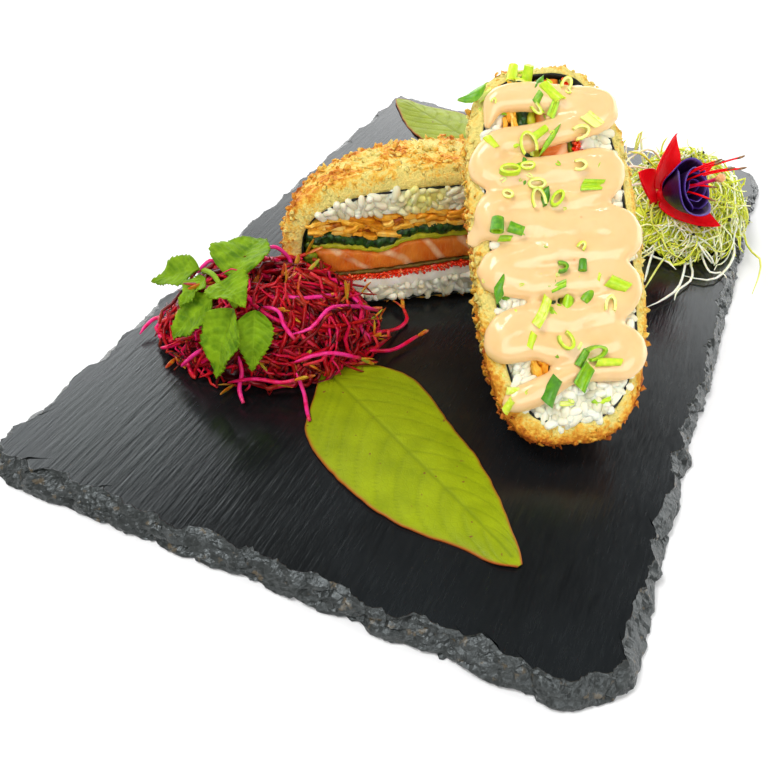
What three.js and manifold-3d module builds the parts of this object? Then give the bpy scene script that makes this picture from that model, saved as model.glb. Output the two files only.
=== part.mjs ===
// A sushi burger cut in two and served on a slate board, with its sprouts, herbs, leaves and flower.
// Millimetres, +Z up. The origin is the middle of the slate's underside: X across the board, Y along it.
import * as THREE from 'three';
import { mergeVertices } from 'three/addons/utils/BufferGeometryUtils.js';
import Module from 'manifold-3d';

const wasm = await Module();
wasm.setup();

// ---------------------------------------------------------------- driving dimensions

const GAP = 0.3; // left between pieces that touch

const SLATE = {
  width: 182,
  length: 293,
  thickness: 6.5,
  cornerRadii: { frontRight: 16, backRight: 6, backLeft: 5, frontLeft: 12 },
  bevel: 2.6, // how far the chipped top edge stands in from the widest level
  chipDepth: 1.4,
  edgePoints: 104,
};

// One half of the burger. Local x runs along the cut, local y into the half, local z from base to dome.
// rim, dome and base are the nori wrap's half-axes; the exponents set how square its profile is.
const FLAT_HALF = {
  name: 'flat_half',
  rim: 48.5,
  dome: 21,
  base: 20.8,
  domeExponent: 3,
  baseExponent: 5,
  depthShare: 0.76,
  crust: { near: 5.5, far: 5.5, dome: 5.8, base: 1.7 },
  at: [-3.1, -16.5],
  headingDeg: 37.1, // of the cut's line across the board
  wavePhase: 0,
};
const LEANING_HALF = {
  name: 'leaning_half',
  rim: 49.3,
  dome: 19.1,
  base: 19.5,
  domeExponent: 3.7,
  baseExponent: 2.75,
  depthShare: 0.76,
  crust: { near: 5.6, far: 2.6, dome: 4.4, base: 2.8 },
  at: [39.3, -45.5],
  domeHeadingDeg: 206.1, // where the dome side faces, seen from above
  tiltDeg: 45.2, // how far the cut's long axis rises
  leanDeg: -8, // how far the dome side rises
  wavePhase: 2.1,
};

const NORI_THICKNESS = 0.8;
const PROFILE_STEPS = 12;
const HALF_TURN_STEPS = 14;
const DEPTH_ROWS = [0, 0.75, 1]; // shares of the half's depth at which a layer is sampled

// The layers sag most at one place along the cut, and roll gently everywhere.
const SAG = { at: -15, spread: 13 };
const ROLL = { along: 0.45, alongLength: 8.5, inward: 0.3, inwardLength: 9 };

// Heights of the boundaries between the layers, as shares of the filling's whole height.
// dip and slope are in millimetres: how far the boundary sags mid-way, and rises towards +x.
const LAYERS = [
  { name: 'rice_base', top: 0.155, dip: 0.3, slope: 1.2, colour: 0xe6e1cf },
  { name: 'cream_cheese', top: 0.225, dip: 0.3, slope: 1.4, colour: 0xf3ead0 },
  { name: 'roe', top: 0.28, dip: 0.4, slope: 1.6, colour: 0xe8200c },
  { name: 'lettuce', top: 0.315, dip: 0.4, slope: 1.6, colour: 0x8a8f2a },
  { name: 'salmon', top: 0.53, dip: 2.2, slope: 1.0, colour: 0xd9702c },
  { name: 'avocado', top: 0.59, dip: 2.4, slope: 1.0, colour: 0xc9c22e },
  { name: 'greens', top: 0.665, dip: 2.3, slope: 0.9, colour: 0x2c4a1c },
  { name: 'crisp_flakes', top: 0.805, dip: 0.8, slope: 0.6, colour: 0xe09a2c },
  { name: 'rice_top', top: 1, dip: 0, slope: 0, colour: 0xe6e1cf },
];

// What stands in for the layers at one end of a cut: how far it reaches in from the rim at its foot and
// at its head, and between which shares of the filling's height.
const SIDE_LETTUCE = { name: 'side_lettuce', foot: 8.5, head: 1.6, bottom: 0.3, top: 0.66, colour: 0x5d7a22 };
const RICE_END = { name: 'rice_end', foot: 11.3, head: 12.3, bottom: 0.1, top: 0.86, colour: 0xe6e1cf };

// The zigzag of sauce: where each turn reaches, along the cut and towards the dome.
const SAUCE = {
  width: 6.2,
  height: 5,
  start: [[35, 12.2], [41, 14.5], [43.6, 3], [41, -9]],
  turns: [
    [36, -14.6], [27, 18], [21.6, -15.4], [11.3, 18.3], [1.3, -19], [-4.5, 17.8], [-14.7, -16.6],
    [-24, 19.4], [-32.5, -16.6],
  ],
  end: [[-39, 0], [-43, 14.5]],
  turnRadius: 3.5,
};

const BEET_SPROUTS = { x: -41, y: -66, length: 39, width: 27, height: 25.7, headingDeg: 12 };
const LEEK_SPROUTS = { x: 61, y: 84, length: 38, width: 26, height: 21, headingDeg: 95 };

// A heap's rings as [share of its reach, share of its height], and how uneven they are.
const HEAP = {
  spokes: 26,
  levels: [[1, 0], [0.94, 0.24], [0.78, 0.56], [0.53, 0.85], [0.25, 1]],
  bulge: 0.09,
  roughness: 0.04,
  lift: 0.06,
};

const LEAF_SIZE = { length: 92, width: 43, thickness: 0.9 };
const FRONT_LEAF = { ...LEAF_SIZE, fold: 1.2, wave: 0.7, at: [-22, -70.5], heading: -30.2 };
const BACK_LEAF = { ...LEAF_SIZE, fold: 2.2, wave: 1, at: [-7, 90], heading: 149.5 };

// Mint leaves: where each starts, its heading, pitch and roll in degrees, and its size.
const MINT_LEAVES = [
  { base: [-59, -75.5, 31.5], heading: 187, pitch: -8, roll: -14, length: 20, width: 10 },
  { base: [-57.5, -77.5, 34.6], heading: 246, pitch: -22, roll: 10, length: 11.5, width: 7 },
  { base: [-52, -82.5, 31], heading: 217, pitch: -38, roll: -22, length: 19, width: 12 },
  { base: [-46.5, -76.2, 35], heading: 112, pitch: 13, roll: -12, length: 23, width: 18 },
  { base: [-38.5, -82, 37], heading: 214, pitch: 4, roll: -14, length: 14, width: 12 },
  { base: [-42.5, -87, 34], heading: 258, pitch: -58, roll: 6, length: 22, width: 15 },
  { base: [-36.5, -84, 33.5], heading: 292, pitch: -52, roll: -8, length: 18, width: 10 },
];
const MINT_SHAPE = { thickness: 0.8, fold: 1.4, wave: 0.4, bend: 1.5 };
const MINT_STEM = { radius: 0.9, sides: 8, steps: 8 };

const FLOWER = {
  foot: new THREE.Vector3(58.9, 58.1, 33),
  headingDeg: -46, // where the open mouth points
  pitchDeg: 25,
  cupRadius: 9.2,
  cupDepth: 12,
  wall: 1,
  sepals: [
    { spoke: -88, length: 16.5 },
    { spoke: 180, length: 17.5 },
    { spoke: 99, length: 18 },
    { spoke: 22, length: 17 },
  ],
  sepalWidth: 11,
  pistilLength: 27,
  pistilRadius: 0.6,
};

// ---------------------------------------------------------------- small helpers

const radians = THREE.MathUtils.degToRad;
const lerp = THREE.MathUtils.lerp;

// A repeatable value from -1 to 1 for each whole number.
function scatter(n) {
  const s = Math.sin(n * 127.1 + 11.7) * 43758.5453;
  return 2 * (s - Math.floor(s)) - 1;
}

function material(colour, roughness = 0.7) {
  return new THREE.MeshStandardMaterial({ color: colour, roughness, metalness: 0 });
}

function namedMesh(name, geometry, colour, roughness) {
  const mesh = new THREE.Mesh(geometry, material(colour, roughness));
  mesh.name = name;
  return mesh;
}

// Collects shared points and faces, and gives one closed geometry whose faces point outwards.
class ClosedSurface {
  constructor() {
    this.points = [];
    this.faces = [];
  }

  point(x, y, z) {
    this.points.push(new THREE.Vector3(x, y, z));
    return this.points.length - 1;
  }

  face(a, b, c) {
    if (a !== b && b !== c && c !== a) {
      this.faces.push([a, b, c]);
    }
  }

  quad(a, b, c, d) {
    this.face(a, b, c);
    this.face(a, c, d);
  }

  // Joins two rows of points of equal length with quads.
  strip(low, high) {
    for (let i = 0; i + 1 < low.length; i += 1) {
      this.quad(low[i], low[i + 1], high[i + 1], high[i]);
    }
  }

  volume() {
    const cross = new THREE.Vector3();
    return this.faces.reduce((sum, [a, b, c]) => {
      cross.crossVectors(this.points[b], this.points[c]);
      return sum + this.points[a].dot(cross) / 6;
    }, 0);
  }

  geometry() {
    const turned = this.volume() < 0;
    const order = this.faces.flatMap(([a, b, c]) => (turned ? [a, c, b] : [a, b, c]));
    const geometry = new THREE.BufferGeometry();
    const flat = this.points.flatMap((p) => [p.x, p.y, p.z]);
    geometry.setAttribute('position', new THREE.Float32BufferAttribute(flat, 3));
    geometry.setIndex(order);
    geometry.computeVertexNormals();
    return geometry;
  }
}

function toManifold(geometry) {
  const bare = geometry.clone();
  bare.deleteAttribute('normal');
  bare.deleteAttribute('uv');
  const merged = mergeVertices(bare, 1e-5);
  const mesh = new wasm.Mesh({
    numProp: 3,
    vertProperties: new Float32Array(merged.attributes.position.array),
    triVerts: new Uint32Array(merged.index.array),
  });
  return new wasm.Manifold(mesh);
}

function fromManifold(solid) {
  const mesh = solid.getMesh();
  const geometry = new THREE.BufferGeometry();
  geometry.setAttribute('position', new THREE.BufferAttribute(new Float32Array(mesh.vertProperties), 3));
  geometry.setIndex(new THREE.BufferAttribute(new Uint32Array(mesh.triVerts), 1));
  geometry.computeVertexNormals();
  return geometry;
}

// ---------------------------------------------------------------- slate board

// The board's outline: a rectangle whose corners are rounded by different amounts.
function slateOutline() {
  const { width, length, cornerRadii, edgePoints } = SLATE;
  const corners = [
    { x: width / 2, y: -length / 2, radius: cornerRadii.frontRight, start: -90 },
    { x: width / 2, y: length / 2, radius: cornerRadii.backRight, start: 0 },
    { x: -width / 2, y: length / 2, radius: cornerRadii.backLeft, start: 90 },
    { x: -width / 2, y: -length / 2, radius: cornerRadii.frontLeft, start: 180 },
  ];
  const outline = new THREE.Shape();
  corners.forEach(({ x, y, radius, start }) => {
    const middleX = x - Math.sign(x) * radius;
    const middleY = y - Math.sign(y) * radius;
    outline.absarc(middleX, middleY, radius, radians(start), radians(start + 90), false);
  });
  outline.closePath();
  return outline.getSpacedPoints(edgePoints).slice(0, edgePoints);
}

function slateGeometry() {
  const { thickness, bevel, chipDepth, edgePoints } = SLATE;
  const outline = slateOutline();
  const surface = new ClosedSurface();
  const levels = [
    { height: 0, inset: 0.2, chip: 0.2 },
    { height: 0.2, inset: 0, chip: 0 },
    { height: 0.65, inset: 0.55, chip: 0.6 },
    { height: 1, inset: 1, chip: 1 },
  ];
  const rings = levels.map((level, row) => {
    const ring = [];
    for (let i = 0; i < edgePoints; i += 1) {
      const at = outline[i];
      const along = outline[(i + 1) % edgePoints].clone().sub(outline[(i + edgePoints - 1) % edgePoints]);
      const out = new THREE.Vector2(along.y, -along.x).normalize();
      const chip = chipDepth * level.chip * 0.5 * (1 + scatter(i * 5 + row * 977));
      const inset = bevel * level.inset + chip;
      ring.push(surface.point(at.x - out.x * inset, at.y - out.y * inset, thickness * level.height));
    }
    return ring;
  });
  rings.slice(1).forEach((ring, row) => {
    surface.strip([...rings[row], rings[row][0]], [...ring, ring[0]]);
  });
  const bottom = surface.point(0, 0, 0);
  const top = surface.point(0, 0, thickness);
  const last = rings[rings.length - 1];
  for (let i = 0; i < edgePoints; i += 1) {
    const next = (i + 1) % edgePoints;
    surface.face(rings[0][next], rings[0][i], bottom);
    surface.face(last[i], last[next], top);
  }
  return surface.geometry();
}

// ---------------------------------------------------------------- burger halves

// The profile of a half from the middle of its base, out to the rim and up to the middle of its dome,
// as [radius, height] pairs of a superellipse.
function halfProfile(rim, dome, base, half) {
  const profile = [];
  for (let i = 0; i <= PROFILE_STEPS; i += 1) {
    const angle = lerp(-Math.PI / 2, Math.PI / 2, i / PROFILE_STEPS);
    const c = Math.max(Math.cos(angle), 0);
    const s = Math.sin(angle);
    const exponent = s > 0 ? half.domeExponent : half.baseExponent;
    const reach = (c ** exponent + Math.abs(s) ** exponent) ** (-1 / exponent);
    const onAxis = i === 0 || i === PROFILE_STEPS;
    profile.push([onAxis ? 0 : rim * c * reach, (s > 0 ? dome : base) * s * reach]);
  }
  return profile;
}

function noriProfile(half, offset) {
  return halfProfile(half.rim + offset, half.dome + offset, half.base + offset, half);
}

function crustProfile(half, turn, extra = 0) {
  const share = (1 - Math.cos(turn)) / 2;
  const rim = half.rim + GAP + lerp(half.crust.far, half.crust.near, share);
  const dome = half.dome + GAP + half.crust.dome;
  const base = half.base + GAP + half.crust.base;
  return halfProfile(rim + extra, dome + extra, base + extra, half);
}

// Turns a profile through half a circle. profileAt(turn) is the profile at that angle, and
// ripple(i, j) is how far a point is moved out along its radius.
function turnedRows(surface, half, profileAt, ripple) {
  const rows = [];
  for (let i = 0; i <= PROFILE_STEPS; i += 1) {
    const row = [];
    for (let j = 0; j <= HALF_TURN_STEPS; j += 1) {
      const turn = (Math.PI * j) / HALF_TURN_STEPS;
      const [radius, height] = profileAt(turn)[i];
      if (radius === 0 && j > 0) {
        row.push(row[0]);
      } else {
        const reach = radius === 0 ? 0 : radius + ripple(i, j);
        const x = reach * Math.cos(turn);
        const y = j === HALF_TURN_STEPS ? 0 : reach * Math.sin(turn) * half.depthShare;
        row.push(surface.point(x, y, height));
      }
    }
    rows.push(row);
  }
  return rows;
}

// A shell between two turned profiles, open at the cut.
function shellGeometry(half, outerAt, innerAt, ripple) {
  const surface = new ClosedSurface();
  const outer = turnedRows(surface, half, outerAt, ripple);
  const inner = turnedRows(surface, half, innerAt, () => 0);
  for (let i = 0; i < PROFILE_STEPS; i += 1) {
    surface.strip(outer[i], outer[i + 1]);
    surface.strip([...inner[i]].reverse(), [...inner[i + 1]].reverse());
  }
  const start = (rows) => rows.map((row) => row[0]);
  const end = (rows) => rows.map((row) => row[HALF_TURN_STEPS]);
  surface.strip(start(outer), start(inner));
  surface.strip(end(inner), end(outer));
  return surface.geometry();
}

// A turned profile closed by a flat face at the cut, grown by extra along its radius.
function solidHalfGeometry(half, profileAt, extra = 0) {
  const surface = new ClosedSurface();
  const rows = turnedRows(surface, half, profileAt, () => extra);
  for (let i = 0; i < PROFILE_STEPS; i += 1) {
    surface.strip(rows[i], rows[i + 1]);
    surface.strip([rows[i][HALF_TURN_STEPS], rows[i][0]], [rows[i + 1][HALF_TURN_STEPS], rows[i + 1][0]]);
  }
  return surface.geometry();
}

// The radius at which the filling meets the nori, at a height.
function rimRadius(profile, height) {
  for (let i = 1; i < profile.length; i += 1) {
    const [r0, z0] = profile[i - 1];
    const [r1, z1] = profile[i];
    if (height <= z1 || i === profile.length - 1) {
      const share = THREE.MathUtils.clamp((height - z0) / (z1 - z0), 0, 1);
      return lerp(r0, r1, share);
    }
  }
  return 0;
}

// The height of the dome (side 1) or of the base (side -1) above a radius.
function capHeight(profile, radius, side) {
  const middle = PROFILE_STEPS / 2;
  for (let k = 1; k <= middle; k += 1) {
    const [r0, z0] = profile[middle + side * (k - 1)];
    const [r1, z1] = profile[middle + side * k];
    if (radius >= r1) {
      return lerp(z0, z1, THREE.MathUtils.clamp((r0 - radius) / (r0 - r1), 0, 1));
    }
  }
  return profile[side > 0 ? PROFILE_STEPS : 0][1];
}

// The wavy boundary above a layer: a height for each place in the half.
function boundary(half, layer, fillBase, fillHeight) {
  return (x, y) => {
    const sag = Math.exp(-(((x - SAG.at) / SAG.spread) ** 2));
    const along = ROLL.along * Math.sin(x / ROLL.alongLength + half.wavePhase + layer.top * 4);
    const inward = ROLL.inward * Math.sin(y / ROLL.inwardLength + layer.top * 9);
    const wave = layer.dip * (0.4 - sag) + layer.slope * (x / half.rim) + along + inward;
    return fillBase + layer.top * fillHeight + wave;
  };
}

// One surface of a layer over the half circle, as rows of points from the cut to the rim. capSide is 1
// or -1 where the surface follows the dome or the base, and 0 where it follows its own boundary.
function layerSurface(surface, half, profile, rimHeight, heightAt, capSide) {
  const rimAt = [];
  for (let j = 0; j <= HALF_TURN_STEPS; j += 1) {
    const turn = (Math.PI * j) / HALF_TURN_STEPS;
    let radius = half.rim;
    for (let pass = 0; pass < 6; pass += 1) {
      radius = rimRadius(profile, rimHeight(radius * Math.cos(turn), radius * Math.sin(turn)));
    }
    rimAt.push(radius);
  }
  return DEPTH_ROWS.map((share, row) => rimAt.map((rim, j) => {
    const turn = (Math.PI * j) / HALF_TURN_STEPS;
    const x = rim * Math.cos(turn);
    const y = j === HALF_TURN_STEPS ? 0 : rim * Math.sin(turn) * share;
    const atRim = row === DEPTH_ROWS.length - 1 || j === 0 || j === HALF_TURN_STEPS;
    const followsCap = capSide !== 0 && !atRim;
    const height = followsCap ? capHeight(profile, Math.hypot(x, y), capSide) : rimHeight(x, y);
    return { x, y: y * half.depthShare, height: capSide === 0 ? heightAt(x, y) : height, j, row };
  })).map((points, row, rows) => points.map((p) => {
    const shared = row > 0 && (p.j === 0 || p.j === HALF_TURN_STEPS);
    if (shared) {
      return rows[0][p.j].index;
    }
    p.index = surface.point(p.x, p.y, p.height);
    return p.index;
  }));
}

// A layer between two boundaries, out to the nori. low or high is null at the base and at the dome.
function layerGeometry(half, low, high) {
  const profile = noriProfile(half, -NORI_THICKNESS - GAP);
  const surface = new ClosedSurface();
  const edge = 0.6; // how thick a layer is where it runs out against the nori
  const below = low ? (x, y) => low(x, y) + GAP : null;
  const above = high ?? null;
  const bottomRows = below
    ? layerSurface(surface, half, profile, below, below, 0)
    : layerSurface(surface, half, profile, (x, y) => above(x, y) - 3 * edge, null, -1);
  const topRows = above
    ? layerSurface(surface, half, profile, above, above, 0)
    : layerSurface(surface, half, profile, (x, y) => below(x, y) + edge, null, 1);
  for (let row = 0; row + 1 < DEPTH_ROWS.length; row += 1) {
    surface.strip(bottomRows[row], bottomRows[row + 1]);
    surface.strip([...topRows[row]].reverse(), [...topRows[row + 1]].reverse());
  }
  const last = DEPTH_ROWS.length - 1;
  surface.strip([...bottomRows[0]].reverse(), [...topRows[0]].reverse());
  surface.strip(bottomRows[last], topRows[last]);
  return surface.geometry();
}

// A prism along local y with the given [x, z] corners, used to trim the layers.
function trimmer(corners) {
  const shape = new THREE.Shape(corners.map(([x, z]) => new THREE.Vector2(x, z)));
  const geometry = new THREE.ExtrudeGeometry(shape, { depth: 90, bevelEnabled: false });
  geometry.rotateX(Math.PI / 2);
  geometry.translate(0, 80, 0);
  return toManifold(geometry);
}

function halfBasis(half) {
  const up = new THREE.Vector3(0, 0, 1);
  if (half.tiltDeg === undefined) {
    const turn = radians(half.headingDeg);
    const along = new THREE.Vector3(Math.cos(turn), Math.sin(turn), 0);
    return new THREE.Matrix4().makeBasis(along, new THREE.Vector3().crossVectors(up, along), up);
  }
  const heading = radians(half.domeHeadingDeg);
  const lean = radians(half.leanDeg);
  const tilt = radians(half.tiltDeg);
  const level = new THREE.Vector3(Math.cos(heading), Math.sin(heading), 0);
  const back = new THREE.Vector3(level.y, -level.x, 0);
  const domeward = level.clone().multiplyScalar(Math.cos(lean)).addScaledVector(up, Math.sin(lean));
  const risen = up.clone().multiplyScalar(Math.cos(lean)).addScaledVector(level, -Math.sin(lean));
  const along = back.clone().multiplyScalar(Math.cos(tilt)).addScaledVector(risen, Math.sin(tilt));
  const inward = back.clone().multiplyScalar(Math.sin(tilt)).addScaledVector(risen, -Math.cos(tilt));
  return new THREE.Matrix4().makeBasis(along, inward, domeward);
}

// Turns a half to its pose and sets its lowest point on the board.
function placeHalf(group, half) {
  group.quaternion.setFromRotationMatrix(halfBasis(half));
  group.position.set(...half.at, 0);
  const lowest = new THREE.Box3().setFromObject(group, true).min.z;
  group.position.z = SLATE.thickness + GAP - lowest;
  group.updateMatrixWorld();
}

// The prism that an end piece fills, and the slightly larger one that the layers are cut back by.
function endTrimmers(half, piece, fillBase, fillHeight) {
  const outside = -half.rim - 10;
  const prism = (back) => trimmer([
    [outside, fillBase + piece.bottom * fillHeight + back],
    [-half.rim + piece.foot - back, fillBase + piece.bottom * fillHeight + back],
    [-half.rim + piece.head - back, fillBase + piece.top * fillHeight - back],
    [outside, fillBase + piece.top * fillHeight - back],
  ]);
  return { cut: prism(0), fill: prism(GAP) };
}

function burgerHalf(half) {
  const group = new THREE.Group();
  const add = (name, geometry, colour) => group.add(namedMesh(`${half.name}_${name}`, geometry, colour));

  const wrap = (offset) => () => noriProfile(half, offset);
  const crumb = (i, j) => 0.5 * scatter(i * 31 + j * 7 + half.wavePhase * 50);
  add('crust', shellGeometry(half, (turn) => crustProfile(half, turn), wrap(GAP), crumb), 0xe3a850);
  add('nori', shellGeometry(half, wrap(0), wrap(-NORI_THICKNESS), () => 0), 0x16181a);

  const fillBase = -half.base + NORI_THICKNESS + GAP;
  const fillHeight = half.base + half.dome - 2 * (NORI_THICKNESS + GAP);
  const bounds = LAYERS.map((layer) => boundary(half, layer, fillBase, fillHeight));
  const endPiece = half === FLAT_HALF ? SIDE_LETTUCE : RICE_END;
  const end = endTrimmers(half, endPiece, fillBase, fillHeight);
  const inside = toManifold(solidHalfGeometry(half, () => noriProfile(half, -NORI_THICKNESS - GAP)));
  add(endPiece.name, fromManifold(inside.intersect(end.fill)), endPiece.colour);
  LAYERS.forEach((layer, i) => {
    const low = i === 0 ? null : bounds[i - 1];
    const high = i === LAYERS.length - 1 ? null : bounds[i];
    const solid = toManifold(layerGeometry(half, low, high)).subtract(end.cut);
    add(layer.name, fromManifold(solid), layer.colour);
  });
  placeHalf(group, half);
  return group;
}

// The zigzag of thick sauce on the leaning half's cut.
function sauceMesh() {
  const lift = -(SAUCE.height / 2 + GAP);
  const turning = SAUCE.turns.flatMap(([x, z]) => {
    const inner = z - Math.sign(z) * SAUCE.turnRadius * 1.3;
    return [[x + SAUCE.turnRadius, inner], [x, z], [x - SAUCE.turnRadius, inner]];
  });
  const points = [...SAUCE.start, ...turning, ...SAUCE.end];
  const route = new THREE.CatmullRomCurve3(points.map(([x, z]) => new THREE.Vector3(x, lift, z)));
  const section = new THREE.Shape();
  section.absellipse(0, 0, SAUCE.height / 2, SAUCE.width / 2, 0, 2 * Math.PI, false, 0);
  const geometry = new THREE.ExtrudeGeometry(section, {
    steps: 72,
    curveSegments: 2,
    extrudePath: route,
    bevelEnabled: false,
  });
  return namedMesh('leaning_half_sauce', geometry, 0xfbd3a0, 0.3);
}

// ---------------------------------------------------------------- leaves

// A thin leaf lying along +x from its base, folded along its midrib and gently waved.
// outline(t) gives the half-width as a share of the full width.
function leafGeometry(leaf, outline, along = 10) {
  const { length, width, thickness, fold, wave, bend = 0 } = leaf;
  const across = 4;
  const surface = new ClosedSurface();
  const skins = [0, thickness].map((lift) => {
    const rows = [];
    for (let i = 0; i <= along; i += 1) {
      const t = i / along;
      const row = [];
      for (let j = 0; j <= across; j += 1) {
        const side = (2 * j) / across - 1;
        const y = side * width * outline(t);
        const drop = bend * t * t;
        const z = fold * Math.abs(side) + wave * Math.sin(t * 9 + side * 1.3) * Math.abs(side) - drop;
        row.push(surface.point(length * t, y, z + lift));
      }
      rows.push(row);
    }
    return rows;
  });
  const [low, high] = skins;
  for (let i = 0; i < along; i += 1) {
    surface.strip([...low[i]].reverse(), [...low[i + 1]].reverse());
    surface.strip(high[i], high[i + 1]);
  }
  const left = (rows) => rows.map((row) => row[0]);
  const right = (rows) => rows.map((row) => row[across]);
  surface.strip(left(high), left(low));
  surface.strip(right(low), right(high));
  surface.strip(low[0], high[0]);
  surface.strip([...low[along]].reverse(), [...high[along]].reverse());
  return surface.geometry();
}

// Widest a third of the way along: round at the base and drawn out to the tip.
function pointedOutline(t) {
  const swell = Math.max(Math.sin(Math.PI * t ** 0.6), 0);
  return 0.01 + 0.49 * swell ** (t < 0.31 ? 1.15 : 0.75);
}


// Nearly oval, a little wider towards the base.
function roundOutline(t) {
  return 0.03 + 0.47 * Math.max(Math.sin(Math.PI * t ** 0.8), 0) ** 0.7;
}

function placedLeaf(name, geometry, colour, { base, heading, pitch = 0, roll = 0 }) {
  const mesh = namedMesh(name, geometry, colour, 0.6);
  mesh.rotation.order = 'ZYX';
  mesh.rotation.set(radians(roll), radians(-pitch), radians(heading));
  mesh.position.set(...base);
  return mesh;
}

function boardLeaf(name, leaf, colour) {
  const base = [...leaf.at, SLATE.thickness + GAP + leaf.wave];
  return placedLeaf(name, leafGeometry(leaf, pointedOutline), colour, { base, heading: leaf.heading });
}

// The room a board leaf takes, from below the board's top to just above the leaf.
function leafClearance(leaf) {
  const below = 4;
  const above = 1.6;
  const grown = {
    ...leaf,
    length: leaf.length + 4 * GAP,
    width: leaf.width + 4 * GAP,
    thickness: leaf.thickness + below + above,
  };
  const geometry = leafGeometry(grown, pointedOutline);
  geometry.translate(-2 * GAP, 0, 0);
  geometry.rotateZ(radians(leaf.heading));
  geometry.translate(...leaf.at, SLATE.thickness + GAP + leaf.wave - below);
  return toManifold(geometry);
}

function mintSprig() {
  const leaves = MINT_LEAVES.map((leaf, i) => {
    const geometry = leafGeometry({ ...MINT_SHAPE, ...leaf }, roundOutline, 6);
    return placedLeaf(`mint_leaf_${i + 1}`, geometry, 0x76b820, leaf);
  });
  const route = new THREE.CatmullRomCurve3([
    new THREE.Vector3(-60, -73, 33.5),
    new THREE.Vector3(-55, -76.5, 35.5),
    new THREE.Vector3(-50, -80, 34.6),
    new THREE.Vector3(-45, -82, 31.5),
  ]);
  const section = new THREE.Shape();
  section.absarc(0, 0, MINT_STEM.radius, 0, 2 * Math.PI, false);
  const stem = new THREE.ExtrudeGeometry(section, {
    steps: MINT_STEM.steps,
    curveSegments: MINT_STEM.sides / 4,
    extrudePath: route,
    bevelEnabled: false,
  });
  return [...leaves, namedMesh('mint_stem', stem, 0x8cc63a)];
}

// ---------------------------------------------------------------- heaps of sprouts

// A heap on the board: rings that climb from its uneven outline to its top.
function heapGeometry({ length, width, height }, seed) {
  const surface = new ClosedSurface();
  const { spokes, levels, bulge, roughness } = HEAP;
  const rings = levels.map(([reach, rise], row) => {
    const ring = [];
    for (let i = 0; i < spokes; i += 1) {
      const turn = (2 * Math.PI * i) / spokes;
      const swell = 1 + bulge * scatter(i + seed) + roughness * scatter(i * 3 + row * 17 + seed);
      const lift = row === 0 ? 0 : HEAP.lift * height * scatter(i * 13 + row * 5 + seed);
      const x = length * reach * swell * Math.cos(turn);
      const y = width * reach * swell * Math.sin(turn);
      ring.push(surface.point(x, y, height * rise + lift));
    }
    return ring;
  });
  rings.slice(1).forEach((ring, row) => {
    surface.strip([...rings[row], rings[row][0]], [...ring, ring[0]]);
  });
  const bottom = surface.point(0, 0, 0);
  const top = surface.point(0, 0, height);
  const last = rings[rings.length - 1];
  for (let i = 0; i < spokes; i += 1) {
    const next = (i + 1) % spokes;
    surface.face(rings[0][next], rings[0][i], bottom);
    surface.face(last[i], last[next], top);
  }
  return surface.geometry();
}

function heapMesh(name, heap, seed, colour, neighbours) {
  const geometry = heapGeometry(heap, seed);
  geometry.rotateZ(radians(heap.headingDeg));
  geometry.translate(heap.x, heap.y, SLATE.thickness + GAP);
  let solid = toManifold(geometry);
  neighbours.forEach((neighbour) => {
    solid = solid.subtract(neighbour);
  });
  const pieces = solid.decompose().sort((a, b) => b.volume() - a.volume());
  return namedMesh(name, fromManifold(pieces[0]), colour, 0.6);
}

// A half grown by the gap, in the board's frame.
function keepClear(half, group) {
  const extra = 2 * GAP;
  const geometry = solidHalfGeometry(half, (turn) => crustProfile(half, turn, extra), extra);
  geometry.applyMatrix4(group.matrixWorld);
  return toManifold(geometry);
}

// ---------------------------------------------------------------- flower

function flowerGroup() {
  const group = new THREE.Group();
  const { cupRadius, cupDepth, wall } = FLOWER;
  // Local +z points out of the mouth. The wall runs from the cup's foot to its flared lip and back.
  const outside = [[0, 0], [0.45, 0.05], [0.8, 0.3], [0.97, 0.65], [1, 1]];
  const outer = outside.map(([r, z]) => new THREE.Vector2(r * cupRadius, z * cupDepth));
  const inner = outside.map(([r, z]) => new THREE.Vector2(
    Math.max(r * cupRadius - wall, 0),
    Math.min(z * cupDepth + wall, cupDepth),
  ));
  const profile = [...outer, ...inner.slice(1, -1).reverse(), new THREE.Vector2(0, wall)];
  const cup = new THREE.LatheGeometry(profile, 14);
  cup.rotateX(Math.PI / 2);
  group.add(namedMesh('flower_corolla', cup, 0x2a0f4a, 0.5));

  FLOWER.sepals.forEach(({ spoke, length }, i) => {
    const shape = { length, width: FLOWER.sepalWidth, thickness: 0.9, fold: 1.2, wave: 0, bend: -5 };
    const holder = new THREE.Group();
    holder.rotation.z = radians(spoke);
    const sepal = namedMesh(`flower_sepal_${i + 1}`, leafGeometry(shape, roundOutline, 6), 0xe60a1e, 0.45);
    sepal.position.set(2.6, 0, -2.6);
    holder.add(sepal);
    group.add(holder);
  });

  const pistil = new THREE.CylinderGeometry(FLOWER.pistilRadius, FLOWER.pistilRadius, FLOWER.pistilLength, 8);
  pistil.rotateX(Math.PI / 2);
  pistil.translate(0, 0, wall + GAP + FLOWER.pistilLength / 2);
  group.add(namedMesh('flower_pistil', pistil, 0xd81454, 0.5));

  group.rotation.order = 'ZYX';
  group.rotation.set(0, radians(90 - FLOWER.pitchDeg), radians(FLOWER.headingDeg));
  group.position.copy(FLOWER.foot);
  return group;
}

// ---------------------------------------------------------------- the whole plate

const plate = new THREE.Group();
plate.add(namedMesh('slate_board', slateGeometry(), 0x2e3338, 0.6));
const flat = burgerHalf(FLAT_HALF);
const leaning = burgerHalf(LEANING_HALF);
leaning.add(sauceMesh());
plate.add(flat, leaning);

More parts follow.
